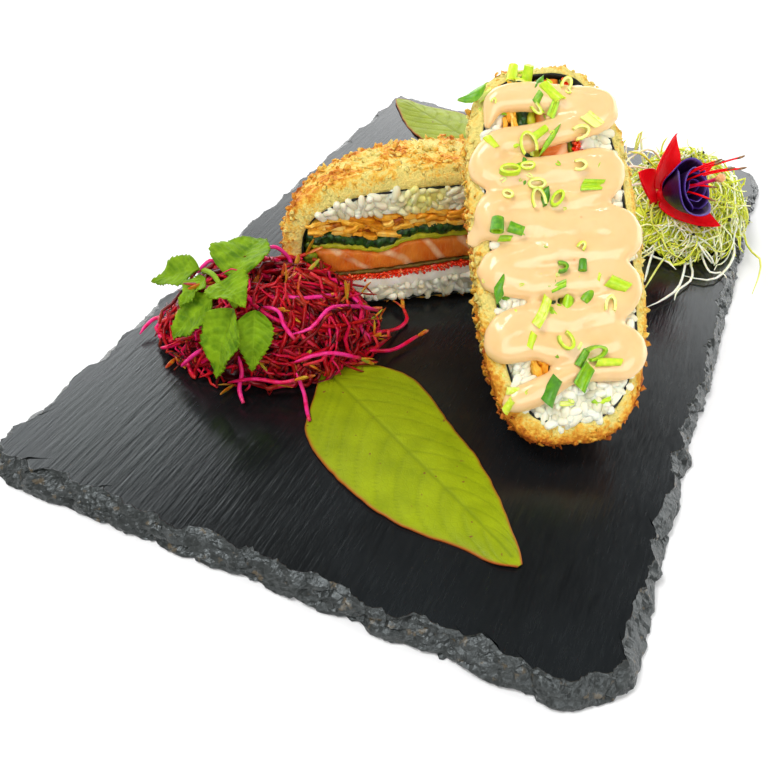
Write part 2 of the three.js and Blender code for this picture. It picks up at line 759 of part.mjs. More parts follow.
const halves = [keepClear(FLAT_HALF, flat), keepClear(LEANING_HALF, leaning)];
const beetNeighbours = [...halves, leafClearance(FRONT_LEAF)];
plate.add(heapMesh('beet_sprouts', BEET_SPROUTS, 3, 0xc2124a, beetNeighbours));
plate.add(heapMesh('leek_sprouts', LEEK_SPROUTS, 40, 0xd8dc9a, halves));
plate.add(boardLeaf('leaf_front', FRONT_LEAF, 0x9fae22));
plate.add(boardLeaf('leaf_back', BACK_LEAF, 0x9fb03a));
plate.add(...mintSprig());
plate.add(flowerGroup());

export default plate;
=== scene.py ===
"""Looks of a sushi burger, cut in two and served on a slate board with its sprouts, herbs and flower.

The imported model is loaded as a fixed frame, and every piece is built round it. Lengths in the code are
millimetres in the frame's axes, turned to metres as each mesh is made.
"""

import contextlib
import functools
import itertools
import math

import bpy
import numpy as np
from bpy.props import FloatProperty, FloatVectorProperty, IntProperty, PointerProperty
from mathutils import Matrix, Vector
from mathutils.bvhtree import BVHTree


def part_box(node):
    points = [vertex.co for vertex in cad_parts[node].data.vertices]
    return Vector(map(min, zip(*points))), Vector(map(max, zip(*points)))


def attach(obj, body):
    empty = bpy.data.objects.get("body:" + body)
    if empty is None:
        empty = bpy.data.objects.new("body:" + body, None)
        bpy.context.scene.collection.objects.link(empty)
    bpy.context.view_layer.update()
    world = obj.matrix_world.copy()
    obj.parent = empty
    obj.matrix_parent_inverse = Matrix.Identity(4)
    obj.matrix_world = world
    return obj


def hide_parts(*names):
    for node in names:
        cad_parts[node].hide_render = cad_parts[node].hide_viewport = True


bl_info = {
    "name": "Sushi burger on slate",
    "version": (1, 0, 0),
    "blender": (4, 5, 0),
    "location": "View3D > Sidebar > Burger",
    "description": "Builds a sushi burger on a slate board round its packed model",
    "category": "Add Mesh",
}

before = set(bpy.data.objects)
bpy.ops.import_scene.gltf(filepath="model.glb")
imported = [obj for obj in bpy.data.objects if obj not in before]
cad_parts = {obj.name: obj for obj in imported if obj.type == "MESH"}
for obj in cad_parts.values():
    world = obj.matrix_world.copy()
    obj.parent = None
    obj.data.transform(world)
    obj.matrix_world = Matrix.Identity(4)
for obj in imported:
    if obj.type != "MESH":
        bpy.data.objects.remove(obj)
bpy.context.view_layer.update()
MM = 0.001
UP = np.array([0.0, 0.0, 1.0])


# ---------------------------------------------------------------- settings


def length_setting(name, description, millimetres):
    return FloatProperty(name=name, description=description, default=millimetres * MM, unit="LENGTH")


def angle_setting(name, description, degrees):
    return FloatProperty(name=name, description=description, default=math.radians(degrees), subtype="ANGLE")


def colour_setting(name, description, colour):
    return FloatVectorProperty(name=name, description=description, default=colour, subtype="COLOR")


# ---------------------------------------------------------------- reading the frame


def point_vectors(mesh, key):
    """A vector at every point of a mesh."""
    flat = np.zeros(len(mesh.vertices) * 3)
    mesh.vertices.foreach_get(key, flat)
    return flat.reshape(-1, 3)


def triangle_corners(mesh):
    """The numbers of the three points of each of a mesh's triangles."""
    mesh.calc_loop_triangles()
    corners = np.zeros(len(mesh.loop_triangles) * 3, dtype=np.int64)
    mesh.loop_triangles.foreach_get("vertices", corners)
    return corners.reshape(-1, 3)


def node_points(node):
    """A CAD node's points, in millimetres."""
    return point_vectors(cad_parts[node].data, "co") / MM


def node_triangles(node):
    """A CAD node's triangles as an array of three corners each, in millimetres."""
    return node_points(node)[triangle_corners(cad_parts[node].data)]


def node_box(node):
    """The lowest and highest corner of a CAD node, in millimetres."""
    low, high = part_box(node)
    return np.array(low) / MM, np.array(high) / MM


def board_top():
    return node_box("slate_board")[1][2]


def unit(vectors):
    """A vector, or each of many, made one unit long."""
    return vectors / np.linalg.norm(vectors, axis=-1, keepdims=True)


def heading_vector(heading):
    """The level direction at an angle in radians from +X towards +Y."""
    return np.array([math.cos(heading), math.sin(heading), 0.0])


# ---------------------------------------------------------------- numbers that repeat


def number_of(cell, seed):
    """A repeatable number from 0 to 1 for each whole-numbered cell."""
    mixed = cell[:, 0] * 73856093 ^ cell[:, 1] * 19349663 ^ cell[:, 2] * 83492791 ^ seed * 2654435761
    mixed = ((mixed ^ (mixed >> 13)) * 1274126177) & 0x7FFFFFFF
    mixed = ((mixed ^ (mixed >> 15)) * 668265263) & 0x7FFFFFFF
    return mixed / 0x7FFFFFFF


def noise_at(points, size, seed=0):
    """Smooth repeatable noise from -1 to 1 at each point; size is its grain in the points' unit."""
    scaled = np.asarray(points, float) / size + 1000.0
    cell = np.floor(scaled).astype(np.int64)
    share = scaled - cell
    share = share * share * (3 - 2 * share)
    total = np.zeros(len(scaled))
    for corner in itertools.product((0, 1), repeat=3):
        weight = np.prod(np.where(corner, share, 1 - share), axis=1)
        total += weight * (number_of(cell + corner, seed) * 2 - 1)
    return total


def knobs_at(points, size, seed=0):
    """Knobs strewn one to a cell: each point's height on its nearest one, 0 in the creases and 1 on top,
    and that knob's own number."""
    scaled = np.asarray(points, float) / size + 1000.0
    cell = np.floor(scaled).astype(np.int64)
    least, second, own = np.full(len(scaled), 9.0), np.full(len(scaled), 9.0), np.zeros(len(scaled))
    for step in itertools.product((-1, 0, 1), repeat=3):
        beside = cell + step
        middle = beside + np.stack([number_of(beside, seed + k) for k in range(3)], -1)
        away = np.linalg.norm(middle - scaled, axis=1)
        second = np.minimum(second, np.maximum(away, least))
        own = np.where(away < least, number_of(beside, seed + 3), own)
        least = np.minimum(away, least)
    return 1 - (1 - np.clip((second - least) / 0.75, 0, 1)) ** 2, own


def layered_noise(points, size, octaves=3, seed=0):
    """Noise with finer noise on top, each octave half the size and half the strength of the last."""
    total = np.zeros(len(points))
    for octave in range(octaves):
        total += noise_at(points, size / 2**octave, seed + octave) / 2**octave
    return total


def smooth_step(low, high, value):
    share = np.clip((value - low) / (high - low), 0, 1)
    return share * share * (3 - 2 * share)


def random_turns(rng, count):
    """Random rotation matrices."""
    q = rng.normal(size=(count, 4))
    q /= np.linalg.norm(q, axis=1)[:, None]
    w, x, y, z = q.T
    return np.stack(
        [
            np.stack([1 - 2 * (y * y + z * z), 2 * (x * y - z * w), 2 * (x * z + y * w)], -1),
            np.stack([2 * (x * y + z * w), 1 - 2 * (x * x + z * z), 2 * (y * z - x * w)], -1),
            np.stack([2 * (x * z - y * w), 2 * (y * z + x * w), 1 - 2 * (x * x + y * y)], -1),
        ],
        1,
    )


def turns_onto(normals, spin):
    """Rotation matrices whose third axis lies along each normal, turned round it by spin radians."""
    z = unit(normals)
    helper = np.where(np.abs(z[:, 2:3]) < 0.9, [[0.0, 0.0, 1.0]], [[1.0, 0.0, 0.0]])
    x = unit(np.cross(helper, z))
    y = np.cross(z, x)
    c, s = np.cos(spin)[:, None], np.sin(spin)[:, None]
    return np.stack([c * x + s * y, c * y - s * x, z], -1)


# ---------------------------------------------------------------- making meshes


def select_only(obj):
    bpy.ops.object.select_all(action="DESELECT")
    obj.select_set(True)
    bpy.context.view_layer.objects.active = obj


@contextlib.contextmanager
def editing(piece):
    """Edit mode on a piece, with all of it selected."""
    select_only(piece)
    bpy.ops.object.mode_set(mode="EDIT")
    bpy.ops.mesh.select_all(action="SELECT")
    yield
    bpy.ops.object.mode_set(mode="OBJECT")


def new_piece(name, points, faces, smooth=True, **values):
    """An object from points in millimetres and arrays of faces with equal numbers of corners.
    Each further value is a number or a vector at every point, kept as an attribute."""
    faces = [np.asarray(f) for f in faces if len(f)]
    corners = np.concatenate([f.ravel() for f in faces])
    sizes = np.concatenate([np.full(len(f), f.shape[1]) for f in faces])
    mesh = bpy.data.meshes.new(name)
    mesh.vertices.add(len(points))
    mesh.vertices.foreach_set("co", (np.asarray(points) * MM).astype(np.float32).ravel())
    mesh.loops.add(len(corners))
    mesh.loops.foreach_set("vertex_index", corners.astype(np.int32))
    mesh.polygons.add(len(sizes))
    mesh.polygons.foreach_set("loop_start", (np.cumsum(sizes) - sizes).astype(np.int32))
    mesh.polygons.foreach_set("use_smooth", np.full(len(sizes), smooth))
    mesh.update(calc_edges=True)
    mesh.validate()
    piece = bpy.data.objects.new(name, mesh)
    bpy.context.scene.collection.objects.link(piece)
    for key, value in values.items():
        set_values(piece, key, value)
    return piece


def set_values(piece, key, value):
    """Keeps a number or a vector at every point of a piece."""
    value = np.asarray(value, dtype=np.float32)
    kind, field = ("FLOAT", "value") if value.ndim == 1 else ("FLOAT_VECTOR", "vector")
    attribute = piece.data.attributes.new(key, kind, "POINT")
    attribute.data.foreach_set(field, value.ravel())


def kept_values(piece, key):
    """The numbers kept at a piece's points."""
    values = np.zeros(len(piece.data.vertices))
    piece.data.attributes[key].data.foreach_get("value", values)
    return values


def set_everywhere(piece, **values):
    """Keeps the same number at every point of a piece."""
    for key, value in values.items():
        set_values(piece, key, np.full(len(piece.data.vertices), value))


def piece_points(piece):
    """A piece's points, in millimetres."""
    return point_vectors(piece.data, "co") / MM


def point_normals(piece):
    return point_vectors(piece.data, "normal")


def move_points(piece, points):
    piece.data.vertices.foreach_set("co", (points * MM).astype(np.float32).ravel())
    piece.data.update()


def roughen(piece, amount, size, octaves=3, seed=0, swell=0.0):
    """Moves a piece's points in and out along their normals by noise, and out by swell."""
    points = piece_points(piece)
    out = amount * layered_noise(points, size, octaves, seed) + swell
    move_points(piece, points + point_normals(piece) * np.asarray(out)[:, None])


def apply_modifier(piece, kind, **settings):
    """Adds a modifier with its settings and applies it."""
    modifier = piece.modifiers.new(kind.title(), kind)
    for key, value in settings.items():
        setattr(modifier, key, value)
    select_only(piece)
    bpy.ops.object.modifier_apply(modifier=modifier.name)


def merge_and_face_out(piece, distance=0.001):
    """Merges doubled points and turns the faces outwards."""
    with editing(piece):
        bpy.ops.mesh.remove_doubles(threshold=distance * MM)
        bpy.ops.mesh.normals_make_consistent(inside=False)


def node_copy(node, name):
    """A copy of a CAD node's solid, merged so that it can be shaped."""
    piece = bpy.data.objects.new(name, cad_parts[node].data.copy())
    bpy.context.scene.collection.objects.link(piece)
    merge_and_face_out(piece)
    return piece


def grid_faces(rows, columns, closed=False, start=0):
    """Faces of a grid of points kept row by row. A closed grid has its last column joined to its first."""
    r, c = np.meshgrid(np.arange(rows - 1), np.arange(columns if closed else columns - 1), indexing="ij")
    r, c = r.ravel(), c.ravel()
    beside = (c + 1) % columns
    quads = [r * columns + c, r * columns + beside, (r + 1) * columns + beside, (r + 1) * columns + c]
    return np.stack(quads, -1) + start


def remeshed(piece, voxel):
    """Joins a piece's overlapping parts into one even skin."""
    apply_modifier(piece, "REMESH", mode="VOXEL", voxel_size=voxel * MM, use_smooth_shade=True)


def relax(piece, repeats):
    apply_modifier(piece, "SMOOTH", factor=0.5, iterations=repeats)


class Shape:
    """A small model that is copied many times: its points in millimetres and its faces."""

    def __init__(self, piece):
        self.points = piece_points(piece)
        by_size = {}
        for polygon in piece.data.polygons:
            by_size.setdefault(len(polygon.vertices), []).append(list(polygon.vertices))
        self.faces = [np.array(f) for f in by_size.values()]
        bpy.data.objects.remove(piece)


def copies(name, shapes, places, turns, sizes, smooth=True, **values):
    """One piece of many copies. sizes is one number or three for each copy, and each further value is
    one number for each copy."""
    points, faces, kept = [], {}, {key: [] for key in values}
    start = 0
    sizes = np.asarray(sizes, float)
    sizes = sizes[:, None] if sizes.ndim == 1 else sizes
    for which, shape in enumerate(shapes):
        chosen = np.arange(which, len(places), len(shapes))
        if not len(chosen):
            continue
        local = shape.points[None] * sizes[chosen][:, None]
        made = np.einsum("nij,npj->npi", turns[chosen], local) + places[chosen][:, None]
        points.append(made.reshape(-1, 3))
        offsets = start + np.arange(len(chosen)) * len(shape.points)
        for f in shape.faces:
            copied = (f[None] + offsets[:, None, None]).reshape(-1, f.shape[1])
            faces.setdefault(f.shape[1], []).append(copied)
        for key, value in values.items():
            kept[key].append(np.repeat(np.asarray(value)[chosen], len(shape.points)))
        start += len(chosen) * len(shape.points)
    joined = {key: np.concatenate(value) for key, value in kept.items()}
    stacked = [np.concatenate(f) for f in faces.values()]
    return new_piece(name, np.concatenate(points), stacked, smooth, **joined)


def spread_over(triangles, count, rng):
    """Places spread evenly over triangles, with the triangle that each lies on."""
    a, b, c = triangles[:, 0], triangles[:, 1], triangles[:, 2]
    area = np.linalg.norm(np.cross(b - a, c - a), axis=1)
    chosen = rng.choice(len(triangles), size=count, p=area / area.sum())
    u, v = rng.random((2, count))
    over = u + v > 1
    u, v = np.where(over, 1 - u, u)[:, None], np.where(over, 1 - v, v)[:, None]
    return a[chosen] + u * (b - a)[chosen] + v * (c - a)[chosen], chosen


def apart(places, distance):
    """The numbers of those places that keep a distance from all chosen before them."""
    chosen = []
    for i, place in enumerate(places):
        if not chosen or np.min(np.linalg.norm(places[chosen] - place, axis=1)) > distance:
            chosen.append(i)
    return np.array(chosen)


def triangle_normals(triangles):
    n = np.cross(triangles[:, 1] - triangles[:, 0], triangles[:, 2] - triangles[:, 0])
    return n / np.maximum(np.linalg.norm(n, axis=1), 1e-12)[:, None]


def strands(name, paths, radii, sides=6, smooth=True, **values):
    """One piece of round strands. paths holds the same number of points for every strand, radii a
    radius for each of them, and each further value is one number for each strand."""
    count, steps, _ = paths.shape
    tangents = np.gradient(paths, axis=1)
    tangents /= np.maximum(np.linalg.norm(tangents, axis=2), 1e-9)[..., None]
    side = np.cross(tangents[:, 0], np.where(np.abs(tangents[:, 0, 2:3]) < 0.9, [UP], [[1.0, 0, 0]]))
    turn = np.linspace(0, 2 * np.pi, sides, endpoint=False)
    rings = np.zeros((count, steps, sides, 3))
    for i in range(steps):
        t = tangents[:, i]
        side = side - np.sum(side * t, axis=1)[:, None] * t
        side /= np.maximum(np.linalg.norm(side, axis=1), 1e-9)[:, None]
        other = np.cross(t, side)
        ring = np.cos(turn)[:, None] * side[:, None] + np.sin(turn)[:, None] * other[:, None]
        rings[:, i] = paths[:, i][:, None] + ring * radii[:, i][:, None, None]
    one = grid_faces(steps, sides, closed=True)
    offsets = np.arange(count) * steps * sides
    walls = (one[None] + offsets[:, None, None]).reshape(-1, 4)
    first = np.arange(sides)[None] + offsets[:, None]
    last = first[:, ::-1] + (steps - 1) * sides
    repeated = {key: np.repeat(np.asarray(value), steps * sides) for key, value in values.items()}
    along = np.tile(np.repeat(np.linspace(0, 1, steps), sides), count)
    points = rings.reshape(-1, 3)
    return new_piece(name, points, [walls[:, ::-1], first, last], smooth, along=along, **repeated)


def join_pieces(name, pieces):
    bpy.ops.object.select_all(action="DESELECT")
    for piece in pieces:
        piece.select_set(True)
    bpy.context.view_layer.objects.active = pieces[0]
    bpy.ops.object.join()
    pieces[0].name = name
    return pieces[0]


def add_to_part(piece, finish, slot, *nodes):
    """Gives a piece its finish, sets it riding on the part and hides the CAD nodes that it stands for."""
    piece.data.materials.clear()
    piece.data.materials.append(finish)
    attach(piece, "root")
    if nodes:
        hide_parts(*nodes)
    return piece


# ---------------------------------------------------------------- finishes

SOCKETS = {
    "roughness": "Roughness",
    "specular": "Specular IOR Level",
    "coat": "Coat Weight",
    "coat_roughness": "Coat Roughness",
    "subsurface": "Subsurface Weight",
}


def shade(colour):
    """A colour in linear light, from its usual six digits or from its red, green and blue in linear light."""
    if isinstance(colour, str):
        parts = [int(colour[i : i + 2], 16) / 255 for i in (0, 2, 4)]
        colour = [p / 12.92 if p <= 0.04045 else ((p + 0.055) / 1.055) ** 2.4 for p in parts]
    return (*colour, 1.0)


class Nodes:
    """A shader tree, with short ways to add and link its nodes."""

    def __init__(self, tree):
        self.nodes, self.links = tree.nodes, tree.links

    def feed(self, socket, value):
        """Links a socket to a socket, or sets it to a value or a colour."""
        if isinstance(value, bpy.types.NodeSocket):
            self.links.new(value, socket)
        elif socket.type == "RGBA":
            socket.default_value = shade(value)
        else:
            socket.default_value = value

    def add(self, kind, **inputs):
        """A node; an input is a value, or the socket to link to it."""
        node = self.nodes.new(kind)
        for key, value in inputs.items():
            self.feed(node.inputs[key.replace("_", " ")], value)
        return node

    def maths(self, operation, *values, kind="ShaderNodeMath"):
        node = self.nodes.new(kind)
        node.operation = operation
        for socket, value in zip(node.inputs, values):
            self.feed(socket, value)
        return node.outputs[0]

    def plus(self, first, second):
        return self.maths("ADD", first, second)

    def times(self, first, second):
        return self.maths("MULTIPLY", first, second)

    def noise(self, where, scale, detail=2.0):
        return self.add("ShaderNodeTexNoise", Vector=where, Scale=scale, Detail=detail).outputs["Fac"]

    def between(self, value, low, high, to_low=0.0, to_high=1.0):
        """The value's place from low to high, as a number from to_low to to_high."""
        limits = {"From_Min": low, "From_Max": high, "To_Min": to_low, "To_Max": to_high}
        return self.add("ShaderNodeMapRange", Value=value, **limits).outputs[0]

    def uneven(self, where, scale, detail, amount):
        """Noise from -amount to amount."""
        return self.between(self.noise(where, scale, detail), 0.3, 0.7, -amount, amount)

    def mix(self, share, first, second):
        node = self.nodes.new("ShaderNodeMix")
        node.data_type = "RGBA"
        # a Mix node keeps its two colours in its seventh and eighth sockets
        for number, value in ((0, share), (6, first), (7, second)):
            self.feed(node.inputs[number], value)
        return node.outputs[2]

    def ramp(self, value, *stops):
        """Colours along a value: each stop is a place from 0 to 1 and a colour."""
        node = self.nodes.new("ShaderNodeValToRGB")
        self.links.new(value, node.inputs[0])
        elements = node.color_ramp.elements
        for i, (at, colour) in enumerate(stops):
            element = elements[i] if i < 2 else elements.new(at)
            element.position = at
            element.color = shade(colour)
        return node.outputs[0]


class Finish(Nodes):
    """A material and its nodes. reach is how deep light goes into it, in millimetres."""

    def __init__(self, name, reach=1.0, **fixed):
        self.material = bpy.data.materials.new(name)
        self.material.use_nodes = True
        super().__init__(self.material.node_tree)
        self.shader = self.nodes["Principled BSDF"]
        for key, value in fixed.items():
            self.shader.inputs[SOCKETS[key]].default_value = value
        if "subsurface" in fixed:
            self.shader.inputs["Subsurface Scale"].default_value = reach * MM
            self.shader.inputs["Subsurface Radius"].default_value = (1.0, 0.6, 0.4)

    def place(self):
        """Object coordinates in millimetres."""
        where = self.nodes.new("ShaderNodeTexCoord").outputs["Object"]
        return self.maths("MULTIPLY", where, (1 / MM,) * 3, kind="ShaderNodeVectorMath")

    def kept(self, key, output="Fac"):
        """An attribute kept at the points."""
        node = self.nodes.new("ShaderNodeAttribute")
        node.attribute_name = key
        return node.outputs[output]

    def stretched(self, where, scale, turn=(0.0, 0.0, 0.0)):
        return self.add("ShaderNodeMapping", Vector=where, Scale=scale, Rotation=turn).outputs[0]

    def mottled(self, where, size, contrast, first, second):
        """Two colours in soft patches."""
        node = self.nodes.new("ShaderNodeGroup")
        node.node_tree = mottle_group()
        for key, value in zip(node.inputs.keys(), (where, size, contrast, first, second)):
            self.feed(node.inputs[key], value)
        return node.outputs["Colour"]

    def colour(self, socket):
        self.links.new(socket, self.shader.inputs["Base Color"])

    def rough(self, socket):
        self.links.new(socket, self.shader.inputs["Roughness"])

    def bump(self, height, distance, strength=1.0):
        node = self.add("ShaderNodeBump", Height=height, Distance=distance * MM, Strength=strength)
        self.links.new(node.outputs[0], self.shader.inputs["Normal"])

    def finished(self, colour, where, scale, detail, distance):
        """The material, given its colour and an even grain of bumps."""
        self.colour(colour)
        self.bump(self.noise(where, scale, detail), distance)
        return self.material


@functools.cache
def mottle_group():
    """Two colours in soft patches of a given size, for whatever isn't one even colour."""
    tree = bpy.data.node_groups.new("Mottle", "ShaderNodeTree")
    for label, side, kind in (
        ("Place", "INPUT", "Vector"),
        ("Size", "INPUT", "Float"),
        ("Contrast", "INPUT", "Float"),
        ("First", "INPUT", "Color"),
        ("Second", "INPUT", "Color"),
        ("Colour", "OUTPUT", "Color"),
        ("Mask", "OUTPUT", "Float"),
    ):
        tree.interface.new_socket(name=label, in_out=side, socket_type=f"NodeSocket{kind}")
    inside = Nodes(tree)
    given = inside.add("NodeGroupInput").outputs
    made = inside.add("NodeGroupOutput").inputs
    scaled = inside.maths("DIVIDE", given["Place"], given["Size"], kind="ShaderNodeVectorMath")
    centred = inside.maths("SUBTRACT", inside.noise(scaled, 1.0, 3.0), 0.5)
    mask = inside.maths("MULTIPLY_ADD", centred, given["Contrast"], 0.5)
    mask.node.use_clamp = True
    inside.feed(made["Colour"], inside.mix(mask, given["First"], given["Second"]))
    inside.feed(made["Mask"], mask)
    return tree


def slate_finish():
    finish = Finish("Slate", specular=0.42)
    finish.shader.inputs["Specular Tint"].default_value = (0.88, 0.97, 1.0, 1)
    where = finish.place()
    grain = finish.noise(finish.stretched(where, (0.8, 0.05, 0.6), (0, 0, 0.1)), 1.0, 5.0)
    fine = finish.noise(finish.stretched(where, (1.9, 0.2, 1.6), (0, 0, 0.1)), 1.0, 3.0)
    patch = finish.noise(finish.stretched(where, (0.03, 0.018, 0.03)), 1.0, 3.0)
    body = finish.ramp(grain, (0.25, "0c0d0e"), (0.8, "17191a"))
    worn = finish.mix(finish.between(patch, 0.45, 0.7), body, "15181a")
    facet = finish.mix(finish.noise(where, 0.45, 4.0), "101211", "474a49")
    ledge = finish.between(finish.noise(where, 0.35, 3.0), 0.62, 0.68, 0.0, 0.55)
    chipped = finish.mix(ledge, facet, "6a5c46")
    finish.colour(finish.mix(finish.kept("chip"), worn, chipped))
    finish.rough(finish.between(finish.plus(fine, patch), 0.7, 1.3, 0.16, 0.29))
    ripples = finish.noise(finish.stretched(where, (0.16, 0.03, 0.16), (0, 0, 0.16)), 1.0, 2.0)
    streaks = finish.plus(finish.times(grain, 1.2), finish.times(fine, 0.5))
    streaks = finish.plus(streaks, finish.times(ripples, 0.8))
    pits = finish.times(finish.noise(where, 0.8, 5.0), finish.times(finish.kept("chip"), 4.0))
    finish.bump(finish.plus(streaks, pits), 0.085)
    return finish.material


def patchy_finish(name, patches, first, second, grain, **fixed):
    """Two colours in patches. patches is their size and contrast; grain is a scale, a detail and a depth."""
    finish = Finish(name, **fixed)
    where = finish.place()
    return finish.finished(finish.mottled(where, *patches, first, second), where, *grain)


def crust_finish():
    finish = Finish("Panko crust", roughness=0.6, specular=0.25, subsurface=0.1, reach=1.0)
    where = finish.place()
    toast = finish.between(finish.noise(where, 0.9, 3.0), 0.3, 0.7, -0.2, 0.18)
    colours = (0.0, "dccc72"), (0.2, "f0dc80"), (0.4, "f0c04a"), (0.62, "e09024"), (1.0, "a84e0e")
    browned = finish.ramp(finish.plus(finish.kept("toast"), toast), *colours)
    return finish.finished(browned, where, 1.6, 4.0, 0.75)


def nori_finish():
    grain = (1.6, 3.0, 0.25)
    return patchy_finish("Nori", (2.5, 2.5), "0c0f0c", "1d231b", grain, roughness=0.4, specular=0.3)


def rice_finish():
    finish = Finish("Rice", roughness=0.34, specular=0.25, subsurface=0.4, reach=1.2)
    tone = finish.kept("tone")
    plain = finish.ramp(tone, (0.0, "ccc396"), (0.5, "e6e0c2"), (1.0, "f8f3de"))
    stained_rice = finish.ramp(tone, (0.0, "c4c055"), (1.0, "e9e38a"))
    colour = finish.mix(finish.kept("stain"), plain, stained_rice)
    return finish.finished(colour, finish.place(), 0.9, 2.0, 0.1)


def cream_cheese_finish():
    wet = {"roughness": 0.42, "specular": 0.3, "subsurface": 0.3, "reach": 1.5}
    return patchy_finish("Cream cheese", (2.0, 2.0), "fbf4dc", "fffcf0", (0.8, 3.0, 0.2), **wet)


def roe_finish():
    finish = Finish("Roe", roughness=0.2, specular=0.4, subsurface=0.5, reach=1.2)
    finish.colour(finish.ramp(finish.kept("tone"), (0.0, "f42808"), (0.7, "ff4a1c"), (1.0, "ff9058")))
    return finish.material


def salmon_finish():
    """Orange flesh crossed by pale slanting lines of fat, in the half's own axes."""
    finish = Finish("Salmon", roughness=0.36, specular=0.3, subsurface=0.25, reach=1.5)
    where = finish.kept("place", "Vector")
    flesh = finish.mottled(where, 7.0, 3.0, "f49434", "de6412")
    slanted = finish.stretched(where, (1.0, 0.3, 1.0), (0, 0.9, 0))
    fat = dict(Scale=0.034, Distortion=3.0, Detail=3.0, Detail_Scale=0.6)
    wave = finish.add("ShaderNodeTexWave", Vector=slanted, **fat)
    fat = finish.between(wave.outputs["Fac"], 0.78, 1.0)
    broken = finish.times(fat, finish.between(finish.noise(where, 0.2, 3.0), 0.34, 0.58))
    fibres = finish.noise(finish.stretched(where, (1.6, 0.5, 0.5), (0, 0.55, 0)), 1.0, 2.0)
    lined = finish.mix(finish.between(fibres, 0.5, 0.75, 0.0, 0.45), flesh, "ec9c58")
    finish.colour(finish.mix(broken, lined, "f8c494"))
    finish.bump(fibres, 0.3)
    return finish.material


def avocado_finish():
    finish = Finish("Avocado", roughness=0.38, specular=0.3, subsurface=0.2, reach=1.2)
    where = finish.kept("place", "Vector")
    return finish.finished(finish.mottled(where, 3.0, 3.0, "a4ac14", "d2cc30"), where, 1.0, 3.0, 0.2)


def greens_finish():
    grain = (1.4, 3.0, 0.3)
    return patchy_finish("Dark greens", (1.8, 4.0), "0e2610", "2f5a1e", grain, roughness=0.3, specular=0.35)


def lettuce_finish():
    finish = Finish("Lettuce", roughness=0.35, specular=0.3, subsurface=0.1, reach=0.8)
    where = finish.place()
    green = finish.mottled(where, 2.2, 5.0, "2a3f10", "93a51e")
    return finish.finished(finish.mix(finish.kept("brown"), green, "6f4a1c"), where, 1.4, 3.0, 0.3)


def flakes_finish():
    finish = Finish("Crisp flakes", roughness=0.4, specular=0.3, subsurface=0.08, reach=0.8)
    where = finish.place()
    tone = finish.plus(finish.kept("tone"), finish.uneven(where, 0.5, 3.0, 0.2))
    fried = finish.ramp(tone, (0.0, "8a3a06"), (0.35, "e48e12"), (0.7, "fcba38"), (1.0, "ffd974"))
    return finish.finished(fried, where, 1.8, 3.0, 0.25)


def sauce_finish():
    wet = {"coat": 0.6, "coat_roughness": 0.03}
    finish = Finish("Peach sauce", roughness=0.34, specular=0.3, subsurface=0.3, reach=2.0, **wet)
    where = finish.place()
    body = finish.mottled(where, 9.0, 1.6, "f4d098", "f1c486")
    speck = finish.add("ShaderNodeTexVoronoi", Vector=where, Scale=0.16).outputs["Distance"]
    spot = finish.between(speck, 0.05, 0.12, 1.0, 0.0)
    chance = finish.between(finish.noise(where, 0.07, 1.0), 0.55, 0.6)
    finish.colour(finish.mix(finish.times(spot, chance), body, "ee7a44"))
    finish.bump(finish.noise(where, 0.25, 2.0), 0.3, 0.4)
    return finish.material


# ---------------------------------------------------------------- slate board


class SlateSettings(bpy.types.PropertyGroup):
    corner_front_right: length_setting("Front right corner", "Radius of the corner", 16)
    corner_back_right: length_setting("Back right corner", "Radius of the corner", 6)
    corner_back_left: length_setting("Back left corner", "Radius of the corner", 5)
    corner_front_left: length_setting("Front left corner", "Radius of the corner", 12)
    bevel: length_setting("Bevel", "How far the chipped top edge stands in", 2.2)
    chips: IntProperty(name="Chips", description="Flakes struck off round the edge", default=260)


EDGE_POINTS = 1020
# the heights of the rings of points up the edge, in shares of the board's thickness
EDGE_LEVELS = np.array([0, 0.06, 0.14, 0.23, 0.32, 0.41, 0.5, 0.6, 0.7, 0.8, 0.88, 0.95, 1.0])


def rounded_outline(width, length, radii, count):
    """Evenly spaced points round a rectangle with its own radius at each corner, and the way out."""
    rough = []
    signs = [(1, -1, -90), (1, 1, 0), (-1, 1, 90), (-1, -1, 180)]
    for (sx, sy, start), radius in zip(signs, radii, strict=True):
        turn = np.radians(np.linspace(start, start + 90, 25))
        middle = np.array([sx * (width / 2 - radius), sy * (length / 2 - radius)])
        rough.append(middle + radius * np.stack([np.cos(turn), np.sin(turn)], -1))
    rough = np.concatenate([*rough, rough[0][:1]])
    passed = np.concatenate([[0], np.cumsum(np.linalg.norm(np.diff(rough, axis=0), axis=1))])
    along = np.linspace(0, passed[-1], count, endpoint=False)
    points = np.stack([np.interp(along, passed, rough[:, k]) for k in (0, 1)], -1)
    ahead = np.roll(points, -3, axis=0) - np.roll(points, 3, axis=0)
    out = np.stack([ahead[:, 1], -ahead[:, 0]], -1)
    return points, unit(out), along, passed[-1]


def chip_depths(along, total, heights, thickness, settings, rng):
    """How deep flakes have been struck out of the edge, at each height and each place along it."""
    depth = np.zeros((len(heights), len(along)))
    for number in range(settings.chips):
        middle = rng.uniform(0, total)
        large = number % 4 == 0
        reach = rng.uniform(4.0, 12.0) if large else rng.uniform(0.9, 4.0)
        deep = rng.uniform(0.9, 3.6) if large else rng.uniform(0.25, 1.5)
        foot = rng.uniform(-0.6, 0.7) * thickness if large else rng.uniform(0.0, 0.9) * thickness
        away = ((along - middle + total / 2) % total - total / 2) / reach
        across = np.clip(1 - np.abs(away + 0.25 * (1 - away**2) * rng.uniform(-1, 1)) ** 2, 0, 1)
        up = np.clip((heights - foot) / (thickness - foot), 0, 1) ** rng.uniform(0.35, 1.5)
        depth = np.maximum(depth, deep * up[:, None] * across[None])
    return depth


